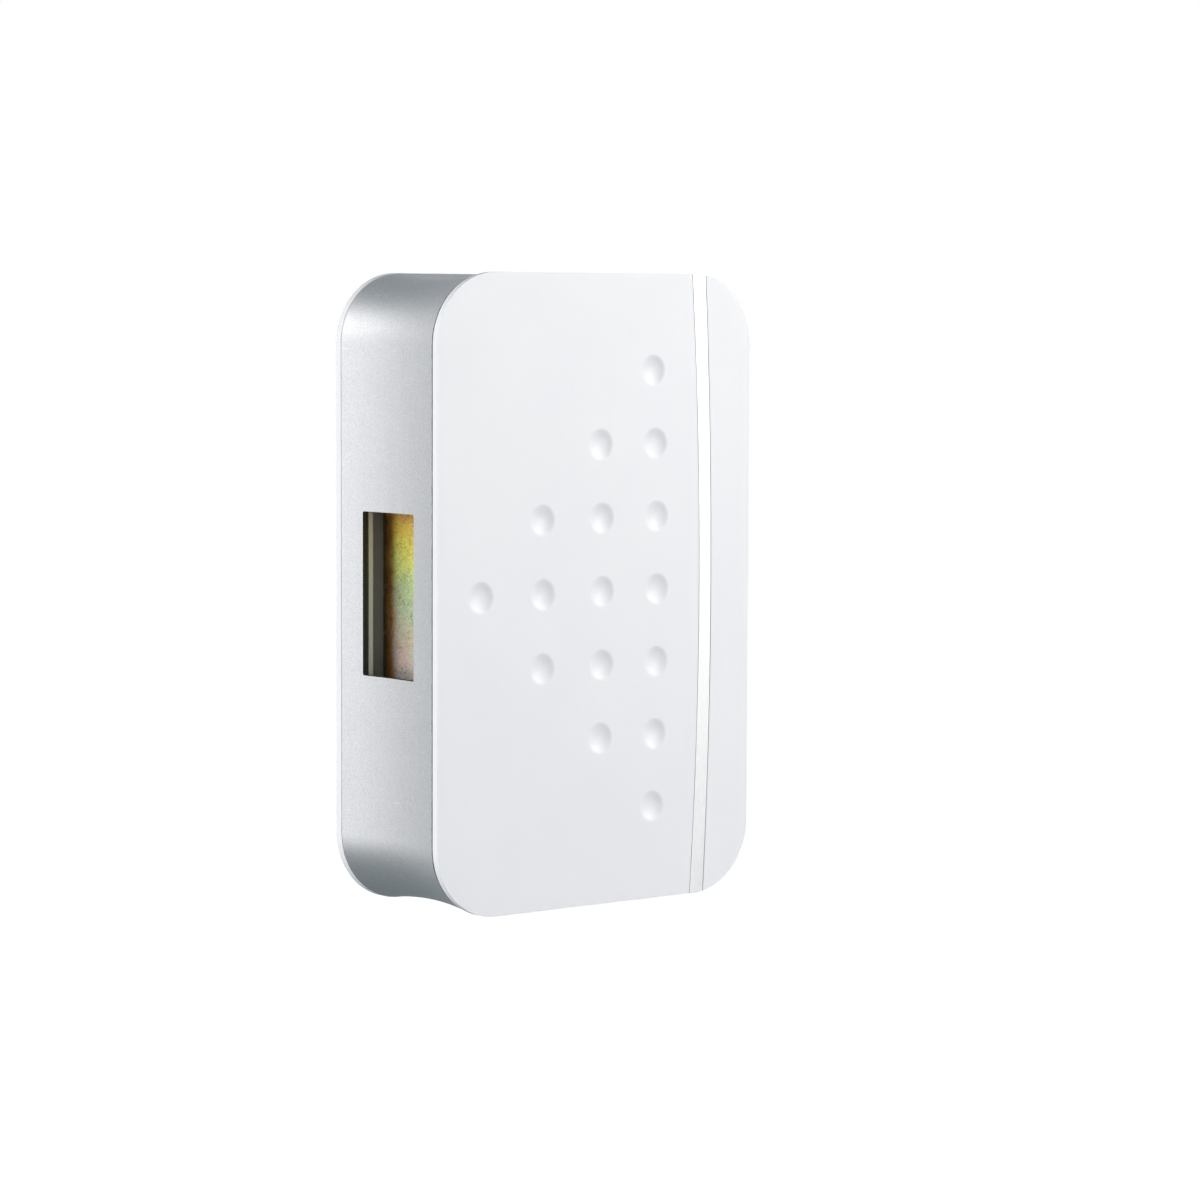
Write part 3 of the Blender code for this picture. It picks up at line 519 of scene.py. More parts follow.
def satin_trim():
    """Pale satin silver strip with a fine grain along its length."""
    n = Nodes("satin_trim")
    grain = n.noise(1.0, 3, 0.6, n.stretched((5200, 5200, 420)))
    colour = n.mix(n.spread(grain, 0.3, 0.7), (0.66, 0.66, 0.66), (0.75, 0.75, 0.75))
    roughness = n.spread(grain, 0.3, 0.7, 0.30, 0.42)
    return n.finish(colour, roughness, 0.35, n.bump(grain, 0.00001, 0.3))


def yellow_zinc():
    """Yellow chromate on steel: bands of colour down the plate, painted shade along its rear edge fading
    through orange-brown to dark brown, dark crackle.
    """
    n = Nodes("yellow_zinc")
    wander = n.math("MULTIPLY", n.math("SUBTRACT", n.noise(55, 4, 0.65), 0.5), 0.040)
    sideways = n.math("MULTIPLY", n.axis("Y"), -0.55)
    height = n.math("ADD", n.math("ADD", n.axis("Z"), wander), sideways)
    band = n.math("DIVIDE", n.math("PINGPONG", n.math("ADD", height, 0.030), 0.075), 0.075)
    colour = n.ramp(
        band,
        (
            (0.10, (0.70, 0.66, 0.64)),
            (0.24, (0.80, 0.68, 0.66)),
            (0.36, (0.72, 0.76, 0.60)),
            (0.50, (0.66, 0.82, 0.46)),
            (0.59, (0.86, 0.92, 0.32)),
            (0.66, (1.00, 0.94, 0.22)),
            (0.74, (1.00, 0.78, 0.14)),
            (0.84, (1.00, 0.58, 0.16)),
            (1.00, (0.90, 0.42, 0.36)),
        ),
    )
    # Painted shade: towards the plate's rear edge the colour is pulled to orange-brown, then to dark brown,
    # for the shadow cast by the window frame.
    edge = n.math("ADD", n.axis("Y"), n.math("MULTIPLY", n.math("SUBTRACT", n.noise(120, 3), 0.5), 0.006))
    colour = n.mix(n.spread(edge, -0.0140, -0.0108), colour, (0.80, 0.36, 0.09))
    colour = n.mix(n.spread(edge, -0.0118, -0.0082), colour, (0.14, 0.085, 0.04))
    blush = n.spread(n.noise(75, 4, 0.6, None, 0.8), 0.54, 0.66)
    colour = n.mix(n.math("MULTIPLY", blush, 0.40), colour, (0.95, 0.58, 0.40))
    grain = n.spread(n.noise(3000, 3, 0.75), 0.44, 0.56)
    colour = n.mix(n.math("MULTIPLY", grain, 0.50), colour, (0.30, 0.31, 0.16), "MULTIPLY")
    cracks = n.spread(n.cells(850, "DISTANCE_TO_EDGE"), 0.0, 0.10, 1.0, 0.0)
    patches = n.spread(n.noise(330, 2), 0.50, 0.66)
    colour = n.mix(n.math("MULTIPLY", cracks, n.math("MULTIPLY", patches, 0.8)), colour, (0.06, 0.06, 0.04))
    roughness = n.spread(n.noise(800, 3), 0.3, 0.7, 0.30, 0.48)
    return n.finish(colour, roughness, 0.3, n.bump(n.noise(1200, 3), 0.00004, 0.4))


def cream_plastic(name="cream_plastic"):
    """Cream moulding with a matt, faintly flow-marked skin. Given to the white base's inner faces, this cream
    is painted shade and warm light thrown back from the yellow tone plates.
    """
    n = Nodes(name)
    flow = n.noise(60, 4, 0.6, n.stretched((1, 1, 0.3)), 1.2)
    colour = n.mix(n.spread(flow, 0.3, 0.7), (0.80, 0.765, 0.67), (0.86, 0.825, 0.73))
    return n.finish(colour, n.spread(flow, 0.3, 0.7, 0.40, 0.50), 0.0, n.bump(n.noise(1300, 3), 0.00002, 0.4))


def bright_zinc():
    """Zinc-plated steel: bluish, softly clouded, with fine wipe marks."""
    n = Nodes("bright_zinc")
    cloud = n.noise(220, 4, 0.6)
    colour = n.ramp(
        n.spread(cloud, 0.3, 0.7),
        ((0.0, (0.50, 0.52, 0.56)), (0.5, (0.62, 0.63, 0.65)), (1.0, (0.70, 0.69, 0.66))),
    )
    wipes = n.noise(1.0, 2, 0.6, n.stretched((300, 5200, 5200)))
    roughness = n.spread(n.math("ADD", wipes, n.math("MULTIPLY", cloud, 0.5)), 0.4, 1.1, 0.20, 0.42)
    return n.finish(colour, roughness, 1.0, n.bump(wipes, 0.00002, 0.25))


def spring_steel():
    """Drawn wire: dark bright steel with fine die lines."""
    n = Nodes("spring_steel")
    lines = n.noise(2600, 3, 0.7)
    colour = n.mix(n.spread(lines, 0.3, 0.7), (0.40, 0.40, 0.41), (0.58, 0.57, 0.56))
    return n.finish(colour, n.spread(lines, 0.3, 0.7, 0.18, 0.34), 1.0, n.bump(lines, 0.00001, 0.3))


def copper_enamel():
    """Enamelled copper wire: red-brown metal under a clear lacquer, a little uneven from turn to turn."""
    n = Nodes("copper_enamel")
    turns = n.noise(1.0, 2, 0.5, n.stretched((2800, 60, 60)))
    colour = n.mix(n.spread(turns, 0.3, 0.7), (0.34, 0.095, 0.030), (0.62, 0.22, 0.075))
    roughness = n.spread(turns, 0.3, 0.7, 0.22, 0.36)
    return n.finish(colour, roughness, 0.85, None, Coat_Weight=0.6, Coat_Roughness=0.12)


def black_rubber():
    """Matt black rubber with a pale bloom in patches."""
    n = Nodes("black_rubber")
    bloom = n.spread(n.noise(600, 4, 0.65), 0.45, 0.75)
    colour = n.mix(bloom, (0.016, 0.016, 0.017), (0.050, 0.050, 0.048))
    return n.finish(colour, n.spread(bloom, 0, 1, 0.62, 0.85), 0.0, n.bump(n.noise(2200, 3), 0.00003, 0.5))


def black_plastic():
    """Glass-filled black moulding: satin, with pale fibre specks."""
    n = Nodes("black_plastic")
    fibre = n.spread(n.noise(1.0, 3, 0.7, n.stretched((900, 2600, 2600))), 0.58, 0.75)
    colour = n.mix(fibre, (0.018, 0.018, 0.020), (0.060, 0.060, 0.062))
    return n.finish(colour, n.spread(fibre, 0, 1, 0.38, 0.52), 0.0, n.bump(n.noise(1500, 3), 0.00002, 0.4))


def natural_nylon():
    """Unpigmented nylon: milky, slightly yellow, a little of the light sinking in."""
    n = Nodes("natural_nylon")
    milk = n.noise(300, 3)
    colour = n.mix(n.spread(milk, 0.3, 0.7), (0.74, 0.71, 0.60), (0.82, 0.80, 0.70))
    bump = n.bump(n.noise(1600, 2), 0.00001, 0.4)
    return n.finish(colour, n.spread(milk, 0.3, 0.7, 0.34, 0.44), 0.0, bump, Subsurface_Weight=0.25)


def sleeve(name, dark_colour, light_colour):
    """Soft wire sleeving: satin PVC with slight drawing lines."""
    n = Nodes(name)
    lines = n.noise(700, 3, 0.6)
    colour = n.mix(n.spread(lines, 0.3, 0.7), dark_colour, light_colour)
    return n.finish(colour, n.spread(lines, 0.3, 0.7, 0.36, 0.48), 0.0, n.bump(lines, 0.00002, 0.3))


# -------- cover


def dimple_places():
    places = []
    for x, count in DIMPLE_COLUMNS:
        for i in range(count):
            height = (i - (count - 1) / 2) * DIMPLE_PITCH
            places.append((bowed(x, height, DIMPLE_BOW_RADIUS), height - DIMPLE_DROP))
    return places


def dimple_cutter(x, height):
    """A round hollow whose lip is eased into the face, turned about its own middle."""
    half = DIMPLE_DIAMETER / 2
    ball = (half**2 + DIMPLE_DEPTH**2) / (2 * DIMPLE_DEPTH)
    inner = half - DIMPLE_LIP
    lip = 2 * DIMPLE_LIP
    profile = []
    for i in range(DIMPLE_BED_STEPS + 1):
        r = inner * i / DIMPLE_BED_STEPS
        profile.append((r, ball - DIMPLE_DEPTH - math.sqrt(ball**2 - r**2)))
    slope = inner / math.sqrt(ball**2 - inner**2)
    r, z = profile[-1]
    for i in range(DIMPLE_LIP_STEPS):
        share = 1 - (i + 1) / (DIMPLE_LIP_STEPS + 1)
        r += lip / DIMPLE_LIP_STEPS
        z += slope * share * lip / DIMPLE_LIP_STEPS
        profile.append((r, z))
    lift = DIMPLE_LIP_LIFT - z
    profile = [(r, z + lift * max(0.0, (r - inner) / lip)) for r, z in profile]
    outer, brim = profile[-1]
    outer += DIMPLE_SKIRT
    profile.append((outer, brim + DIMPLE_SKIRT_RISE))
    cutter = turned([(0, DIMPLE_DEPTH), (outer, DIMPLE_DEPTH), *profile[::-1]], steps=DIMPLE_TURN_STEPS)
    cutter.transform(Matrix.Translation((x, height, DEPTH)))
    return cutter


def trim_band(side_gap, low, high, margin=CUT_MARGIN):
    """The trim's bowed band, a little longer than the panel."""
    top = HEIGHT / 2 + margin
    heights = [top - 2 * top * i / BOW_STEPS for i in range(BOW_STEPS + 1)]
    inner = [(bowed(TRIM_X, h, TRIM_INNER_BOW_RADIUS) - side_gap, h) for h in heights]
    outer = [(bowed(TRIM_X + TRIM_WIDTH, h, TRIM_OUTER_BOW_RADIUS) + side_gap, h) for h in heights]
    return sheet([inner + outer[::-1]], low, high)


def panel_blank(edge):
    return bevelled(sheet([rounded_outline(0)], DEPTH - PANEL_THICKNESS, DEPTH), edge, 4)


def make_front_panel(white):
    back = DEPTH - PANEL_THICKNESS
    rib_rear = back - PANEL_RIB_DEPTH
    inset = waist_inset(rib_rear) + WAIST_WALL + JOINT_GAP
    rib = sheet([rounded_outline(inset), rounded_outline(inset + PANEL_RIB_WALL)], rib_rear, back + JOINT_GAP)
    panel = combined(panel_blank(PANEL_EDGE), [rib], "UNION")
    groove = trim_band(TRIM_SIDE_GAP, DEPTH - TRIM_THICKNESS - JOINT_GAP, DEPTH + CUT_MARGIN)
    panel = combined(panel, [groove], "DIFFERENCE")
    dimples = merged([dimple_cutter(*place) for place in dimple_places()])
    marks = [bar(WIDE_MARK_RADIUS, back - CUT_MARGIN, back + MARK_DEPTH, place) for place in PANEL_MARKS]
    panel = combined(panel, [dimples, merged(marks)], "DIFFERENCE")
    finish_piece("panel", panel, [white], "cover", ["front_panel"], 26)


def make_trim_strip(trim):
    band = bevelled(trim_band(-TRIM_SIDE_GAP, DEPTH - TRIM_THICKNESS, DEPTH), TRIM_EASE, 2)
    strip = combined(band, [panel_blank(PANEL_EDGE)], "INTERSECT")
    finish_piece("strip", strip, [trim], "cover", ["trim_strip"])


def make_waist(silver, dark):
    outs = [WAIST_REAR + (WAIST_FRONT - WAIST_REAR) * i / WAIST_STEPS for i in range(WAIST_STEPS + 1)]
    outer = [(waist_inset(out), out) for out in outs]
    inner = [(waist_inset(out) + WAIST_WALL, out) for out in outs]
    ring = swept_loop(rounded_outline(0), outer + inner[::-1])
    cutters = []
    for side in (-1, 1):
        near = side * (WIDTH / 2 - WINDOW_CUT)
        far = side * (WIDTH / 2 + CUT_MARGIN)
        window = box_mesh(
            (min(near, far), -WINDOW_DROP - WINDOW_HEIGHT / 2, WINDOW_REAR),
            (max(near, far), -WINDOW_DROP + WINDOW_HEIGHT / 2, WINDOW_FRONT),
        )
        cutters.append(bevelled(window, WINDOW_CORNER, 5))
    ring = bevelled(combined(ring, cutters, "DIFFERENCE"), WINDOW_LIP, 2, 60)
    piece = finish_piece("waist", ring, [silver, dark], "cover", ["waist_ring"], 28)
    paint_outer_skin(piece.data)


def paint_outer_skin(mesh):
    """Silver on the outer skin, bare plastic on the inner skin, the ends and the window jambs."""
    for polygon in mesh.polygons:
        x, y, z = polygon.center
        core_x = min(max(x, CORNER_RADIUS - WIDTH / 2), WIDTH / 2 - CORNER_RADIUS)
        core_z = min(max(z, CORNER_RADIUS - HEIGHT / 2), HEIGHT / 2 - CORNER_RADIUS)
        away = Vector((x - core_x, 0, z - core_z))
        facing = polygon.normal.dot(away.normalized()) if away.length else 0
        outer = away.length > CORNER_RADIUS - waist_inset(-y) - WAIST_WALL / 2
        polygon.material_index = 0 if facing > 0.5 and outer else 1


# -------- base and tone plates


def spanned(mid, half):
    return mid - half, mid + half


def bar(radius, low, high, centre=(0, 0), edge=0.0):
    """A cylinder along z, its two end edges eased by the edge radius."""
    profile = [(0, high)]
    if edge:
        profile += [(radius - edge + r, high - edge + h) for r, h in arc((0, 0), edge, 90, 0, 4)]
        profile += [(radius - edge + r, low + edge + h) for r, h in arc((0, 0), edge, 0, -90, 4)]
    else:
        profile += [(radius, high), (radius, low)]
    profile.append((0, low))
    mesh = turned(profile)
    mesh.transform(Matrix.Translation((*centre, 0)))
    return mesh


def obround(length, width, centre):
    reach = (length - width) / 2
    right = arc((centre[0] + reach, centre[1]), width / 2, -90, 90, ROUND_STEPS // 2)
    return right + arc((centre[0] - reach, centre[1]), width / 2, 90, 270, ROUND_STEPS // 2)


def keyhole_outline():
    """A round hole for a screw's head with a narrower slot above it."""
    half_slot = KEYHOLE_SLOT_WIDTH / 2
    head_radius = KEYHOLE_HEAD_DIAMETER / 2
    meet = math.degrees(math.acos(half_slot / head_radius))
    head = arc((0, KEYHOLE_UP), head_radius, 180 - meet, 360 + meet, ROUND_STEPS)
    return head + arc((0, KEYHOLE_UP + KEYHOLE_SLOT_RISE), half_slot, 0, 180, ROUND_STEPS // 2)


def tone_sides():
    """The two tone plates: name, side, and the heights of their upper and lower bushes."""
    for side_name, side in (("left", -1), ("right", 1)):
        levels = [(level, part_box(f"bush_{side_name}_{level}")) for level in ("upper", "lower")]
        yield side_name, side, [(level, (low[2] + high[2]) / 2) for level, (low, high) in levels]


def make_base(white, cream):
    holes = [
        keyhole_outline(),
        obround(LOWER_SLOT_LENGTH, KEYHOLE_SLOT_WIDTH, (0, LOWER_SLOT_UP)),
        rounded_rectangle(CABLE_HOLE_WIDTH / 2, CABLE_HOLE_HEIGHT / 2, SMALL_CORNER, (0, CABLE_HOLE_UP)),
    ]
    root = BASE_THICKNESS / 2
    inset = waist_inset(WINDOW_REAR) + WAIST_WALL + JOINT_GAP
    base = bevelled(sheet([rounded_outline(0)], 0, BASE_THICKNESS), BASE_EDGE, 4)
    rim = sheet([rounded_outline(inset), rounded_outline(inset + RIM_WALL)], root, WINDOW_REAR)
    added = [rim]
    cut = [sheet([hole], -CUT_MARGIN, BASE_THICKNESS + CUT_MARGIN) for hole in holes]
    half = PILLAR_HEIGHT / 2
    foot_half = half + FOOT_PAST_PILLAR
    top = AXIS_OUT + PILLAR_ABOVE_AXIS
    boss_top = FRAME_BACK - JOINT_GAP
    for _, side, levels in tone_sides():
        x_low, x_high = spanned(side * (PILLAR_OUTER_X - PILLAR_THICKNESS / 2), PILLAR_THICKNESS / 2)
        middle = (x_low + x_high) / 2
        for _, height in levels:
            pillar = box_mesh((x_low, height - half, root), (x_high, height + half, top))
            added.append(bevelled(pillar, PILLAR_EDGE, 3))
            outline = rounded_rectangle(FOOT_HALF_WIDTH, foot_half, FOOT_CORNER, (middle, height))
            added.append(bevelled(sheet([outline], root, FOOT_TOP), SOFT_EDGE, 2))
            hole = bar(PLATE_SCREW_DIAMETER / 2 + HOLE_CLEARANCE, -0.005, 0.005)
            hole.transform(Matrix.Translation((middle, height, AXIS_OUT)) @ ALONG_X)
            cut.append(hole)
        place = (side * FRAME_SCREW_X, 0)
        added.append(bar(FRAME_BOSS_DIAMETER / 2, root, boss_top, place, SOFT_EDGE))
        bore = FRAME_SCREW_DIAMETER / 2 + HOLE_CLEARANCE
        cut.append(bar(bore, FRAME_BORE_FLOOR, boss_top + CUT_MARGIN, place))
    pad_x, pad_y = BLOCK_WIDTH / 2 + PAD_MARGIN, BLOCK_HEIGHT / 2 + PAD_MARGIN
    pad = rounded_rectangle(pad_x, pad_y, SMALL_CORNER, (0, BLOCK_UP))
    added.append(bevelled(sheet([pad], root, BLOCK_BACK - JOINT_GAP), SOFT_EDGE, 2))
    cut.append(bar(BLOCK_SCREW_DIAMETER / 2 + HOLE_CLEARANCE, BLOCK_BORE_FLOOR, BLOCK_BACK, (0, BLOCK_UP)))
    for place in BASE_MARKS:
        cut.append(bar(MARK_RADIUS, BASE_THICKNESS - MARK_DEPTH, BASE_THICKNESS + CUT_MARGIN, place))
        cut.append(bar(WIDE_MARK_RADIUS, -CUT_MARGIN, MARK_DEPTH, place))
    base = combined(base, added, "UNION")
    base = combined(base, cut, "DIFFERENCE")
    piece = finish_piece("base", base, [white, cream], "base", ["base_plate"], 28)
    # Painted shade and bounce light: the base is one white moulding, and its faces inside the rim get the
    # cream material as a painted tint for the shade and the warm light from the tone plates there.
    for polygon in piece.data.polygons:
        x, y, z = polygon.center
        within = abs(x) < WIDTH / 2 - inset + SKIN_TOLERANCE and abs(z) < HEIGHT / 2 - inset + SKIN_TOLERANCE
        inside = within and -y > BASE_THICKNESS - SKIN_TOLERANCE and polygon.normal.y < 0.5
        polygon.material_index = 1 if inside else 0


def make_tone_plates(zinc):
    for side_name, _, levels in tone_sides():
        low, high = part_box("tone_plate_" + side_name)
        middle = (low[0] + high[0]) / 2
        half_width = (high[1] - low[1]) / 2
        half_length = (high[2] - low[2]) / 2
        outlines = [rounded_rectangle(half_width, half_length, PLATE_CORNER)]
        outlines += [circle(PLATE_HOLE_DIAMETER / 2, (0, height), 48) for _, height in levels]
        plate = bevelled(sheet(outlines, low[0] - middle, high[0] - middle), SOFT_EDGE, 3)
        plate.transform(Matrix.Translation((middle, 0, AXIS_OUT)) @ AGAINST_X)
        finish_piece("tone_" + side_name, plate, [zinc], "base", ["tone_plate_" + side_name])


def make_bushes(rubber, zinc):
    bore, flange, neck, step, ease = 0.0018, 0.0055, 0.0032, 0.0013, 0.0004
    for side_name, side, levels in tone_sides():
        for level, height in levels:
            name = f"{side_name}_{level}"
            low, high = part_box("bush_" + name)
            length = high[0] - low[0]
            profile = [(bore, length - ease), (bore + ease, length)]
            profile += [(flange - ease + r, length - ease + h) for r, h in arc((0, 0), ease, 90, 0, 5)]
            profile += [(flange, length - step + 0.0001), (flange - 0.0001, length - step)]
            profile.append((neck, length - step))
            profile += [(neck, step), (flange - 0.0001, step), (flange, step - 0.0001)]
            profile += [(flange - ease + r, ease + h) for r, h in arc((0, 0), ease, 0, -90, 5)]
            profile += [(bore + ease, 0), (bore, ease)]
            bush = turned(profile, True)
            start = low[0] if side > 0 else high[0]
            turn = ALONG_X if side > 0 else AGAINST_X
            bush.transform(Matrix.Translation((start, height, AXIS_OUT)) @ turn)
            finish_piece("grommet_" + name, bush, [rubber], "base", ["bush_" + name])
            screw = screw_mesh(0.0035, 0.0020, 0.0015, 0.0113, 12 * side + height * 3000)
            head_foot = start + side * (length + JOINT_GAP)
            screw.transform(Matrix.Translation((head_foot, height, AXIS_OUT)) @ turn)
            finish_piece("screw_" + name, screw, [zinc], "base", ["bush_screw_" + name])


def screw_mesh(head, head_height, shank, length, spin):
    """A pan head screw: rounded head with a cross recess, washer face, and a ridged shank down z."""
    ease = head_height * 0.55
    profile = [(0, head_height), (head * 0.45, head_height - 0.00002)]
    profile += [(head - ease + r, head_height - ease + h) for r, h in arc((0, 0), ease, 80, 0, 7)]
    profile += [(head, 0.00012), (head - 0.00012, 0), (shank, 0)]
    pitch = 0.0006
    depth = pitch * 0.35
    height = -pitch
    while height > -length + 2.2 * shank:
        profile += [(shank, height), (shank - depth, height - pitch / 2)]
        height -= pitch
    profile += [(shank * 0.8, height), (shank * 0.15, -length), (0, -length)]
    screw = turned(profile, steps=40)
    top = head_height + CUT_MARGIN
    slot = box_mesh((-head * 1.1, -0.0004, head_height - 0.0008), (head * 1.1, 0.0004, top))
    cross = box_mesh((-0.0004, -head * 0.55, head_height - 0.0009), (0.0004, head * 0.55, top))
    screw = combined(screw, [slot, cross], "DIFFERENCE")
    screw.transform(Matrix.Rotation(math.radians(spin), 4, "Z"))
    return screw


# -------- solenoid, striker, wiring


def make_solenoid_frame(zinc):
    """A bent steel strip with real bend radii, two rod holes and two screw holes."""
    low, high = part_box("solenoid_frame")
    lug_end = high[0]
    ear_top = -low[1]
    inner, outer = EAR_INNER_X, EAR_OUTER_X
    bend = 0.0004
    half = [(lug_end, FRAME_BACK), (lug_end, FRAME_FRONT)]
    half += [(outer + bend - r, FRAME_FRONT + bend - h) for r, h in arc((0, 0), bend, 90, 0, 4)]
    half += [(outer, ear_top), (inner, ear_top), (inner, FRAME_FRONT)]
    mirrored = [(-x, out) for x, out in half[::-1]]
    strip = bevelled(sheet([half + mirrored], -FRAME_WIDTH / 2, FRAME_WIDTH / 2), 0.0002, 3, 50)
    strip.transform(STAND_UP)
    rod_hole = bar(ROD_DIAMETER / 2 + FRAME_ROD_CLEARANCE, -0.03, 0.03)
    rod_hole.transform(Matrix.Translation((0, 0, AXIS_OUT)) @ ALONG_X)
    cut = [rod_hole]
    for side in (-1, 1):
        cut.append(bar(FRAME_SCREW_DIAMETER / 2 + HOLE_CLEARANCE, 0.005, 0.02, (side * FRAME_SCREW_X, 0)))
        notch = bar(0.0012, 0.005, 0.02, (side * lug_end, FRAME_WIDTH / 2))
        cut += [notch, bar(0.0012, 0.005, 0.02, (side * lug_end, -FRAME_WIDTH / 2))]
    strip = combined(strip, cut, "DIFFERENCE")
    finish_piece("yoke", strip, [zinc], "base", ["solenoid_frame"])
    for name, side in (("left", -1), ("right", 1)):
        screw = screw_mesh(0.0029, 0.0018, 0.0015, 0.0070, 35 * side)
        screw.transform(Matrix.Translation((side * FRAME_SCREW_X, 0, FRAME_FRONT + JOINT_GAP)))
        finish_piece("yoke_screw_" + name, screw, [zinc], "base", ["frame_screw_" + name])


def make_coil(black, copper):
    low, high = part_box("bobbin")
    half = (high[0] - low[0]) / 2
    flange = (high[2] - low[2]) / 2
    tube_radius = ROD_DIAMETER / 2 + SLIDING_CLEARANCE + BOBBIN_TUBE_WALL
    cheeks = []
    for start in (-half, half - BOBBIN_FLANGE_THICKNESS):
        outline = rounded_rectangle(flange, flange, BOBBIN_CORNER)
        cheeks.append(bevelled(sheet([outline], start, start + BOBBIN_FLANGE_THICKNESS), 0.00025, 3))
    bobbin = combined(bar(tube_radius, -half + 0.0007, half - 0.0007), cheeks, "UNION")
    cuts = [bar(ROD_DIAMETER / 2 + SLIDING_CLEARANCE, -half - CUT_MARGIN, half + CUT_MARGIN)]
    for x in (-WIRE_SLOT_X, WIRE_SLOT_X):
        slot_low = (x - WIRE_SLOT_HALF_WIDTH, -flange - CUT_MARGIN, -half - CUT_MARGIN)
        slot_high = (x + WIRE_SLOT_HALF_WIDTH, -flange + WIRE_SLOT_DEPTH, half + CUT_MARGIN)
        cuts.append(box_mesh(slot_low, slot_high))
    bobbin = combined(bobbin, cuts, "DIFFERENCE")
    place = Matrix.Translation((0, 0, AXIS_OUT)) @ ALONG_X
    bobbin.transform(place)
    finish_piece("bobbin_former", bobbin, [black], "base", ["bobbin"])
    low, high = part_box("coil_winding")
    reach = (high[0] - low[0]) / 2
    radius = (high[2] - low[2]) / 2
    pitch = 2 * reach / COIL_TURNS
    profile = [(tube_radius + JOINT_GAP, reach)]
    for i in range(COIL_TURNS):
        middle = reach - (i + 0.5) * pitch
        for share in (0.5, 0.36, 0.16, -0.16, -0.36):
            rise = pitch * math.sqrt(0.25 - share**2 * 0.98)
            profile.append((radius - pitch / 2 + rise, middle + share * pitch))
    profile += [(radius - pitch / 2, -reach), (tube_radius + JOINT_GAP, -reach)]
    winding = turned(profile, True, 96)
    winding.transform(place)
    finish_piece("winding", winding, [copper], "base", ["coil_winding"], 80)


def wire_mesh(path, diameter, resolution=8):
    curve = bpy.data.curves.new("wire", "CURVE")
    curve.dimensions = "3D"
    spline = curve.splines.new("POLY")
    spline.points.add(len(path) - 1)
    for point, place in zip(spline.points, path):
        point.co = (*place, 1)
    curve.bevel_depth = diameter / 2
    curve.bevel_resolution = resolution
    curve.use_fill_caps = True
    return applied(new_object("wire", curve))


def make_spring(steel):
    """Seven turns between the striker's collar and the frame's left ear, the end turns closed up."""
    low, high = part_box("return_spring")
    wire = SPRING_WIRE_DIAMETER
    start = low[0] + wire / 2
    length = high[0] - low[0] - wire
    radius = (high[2] - low[2] - wire) / 2
    steps = SPRING_TURNS * 40
    path = []
    for i in range(steps + 1):
        share = i / steps
        angle = 2 * math.pi * SPRING_TURNS * share
        eased = share - 0.035 * math.sin(2 * math.pi * share)
        path.append((start + eased * length, radius * math.sin(angle), AXIS_OUT + radius * math.cos(angle)))
    stood = wire_mesh(path, wire, 5)
    stood.transform(STAND_UP)
    piece = finish_placed("spring", stood, [steel], None, ["return_spring"], 60)
    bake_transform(piece)


def make_striker(zinc, nylon):
    low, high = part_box("striker_rod")
    rod = bar(ROD_DIAMETER / 2, low[0], high[0], (0, 0), 0.0004)
    socket = TIP_PEG + JOINT_GAP
    ends = ((low[0] - CUT_MARGIN, low[0] + socket), (high[0] - socket, high[0] + CUT_MARGIN))
    sockets = [bar(0.0015, start, end) for start, end in ends]
    rod = combined(rod, sockets, "DIFFERENCE")
    place = Matrix.Translation((0, 0, AXIS_OUT)) @ ALONG_X
    rod.transform(place)
    finish_piece("plunger", rod, [zinc], "striker", ["striker_rod"])
    for side_name, side in (("left", -1), ("right", 1)):
        tip_low, tip_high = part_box("striker_tip_" + side_name)
        length = tip_high[0] - tip_low[0] - TIP_PEG
        profile = [(r, length - TIP_RADIUS + h) for r, h in arc((0, 0), TIP_RADIUS, 90, 0, 14)]
        profile += [(TIP_RADIUS, 0.00015), (TIP_RADIUS - 0.00015, 0)]
        profile += [(0.0013, 0), (0.0013, -TIP_PEG + 0.0002), (0.0011, -TIP_PEG)]
        tip = turned([(0, length), *profile[1:], (0, -TIP_PEG)])
        turn = ALONG_X if side > 0 else AGAINST_X
        foot = tip_high[0] - length if side > 0 else tip_low[0] + length
        tip.transform(Matrix.Translation((foot, 0, AXIS_OUT)) @ turn)
        nodes = ["striker_tip_" + side_name]
        finish_piece("tip_" + side_name, tip, [nylon], "striker", nodes)
    low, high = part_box("spring_collar")
    outer = (high[2] - low[2]) / 2
    bore = ROD_DIAMETER / 2 + SLIDING_CLEARANCE
    profile = [(bore, high[0]), (outer - 0.0002, high[0]), (outer, high[0] - 0.0002)]
    profile += [(outer, low[0] + 0.0002), (outer - 0.0002, low[0]), (bore, low[0])]
    collar = turned(profile, True)
    collar.transform(place)
    finish_piece("collar", collar, [zinc], "striker", ["spring_collar"])


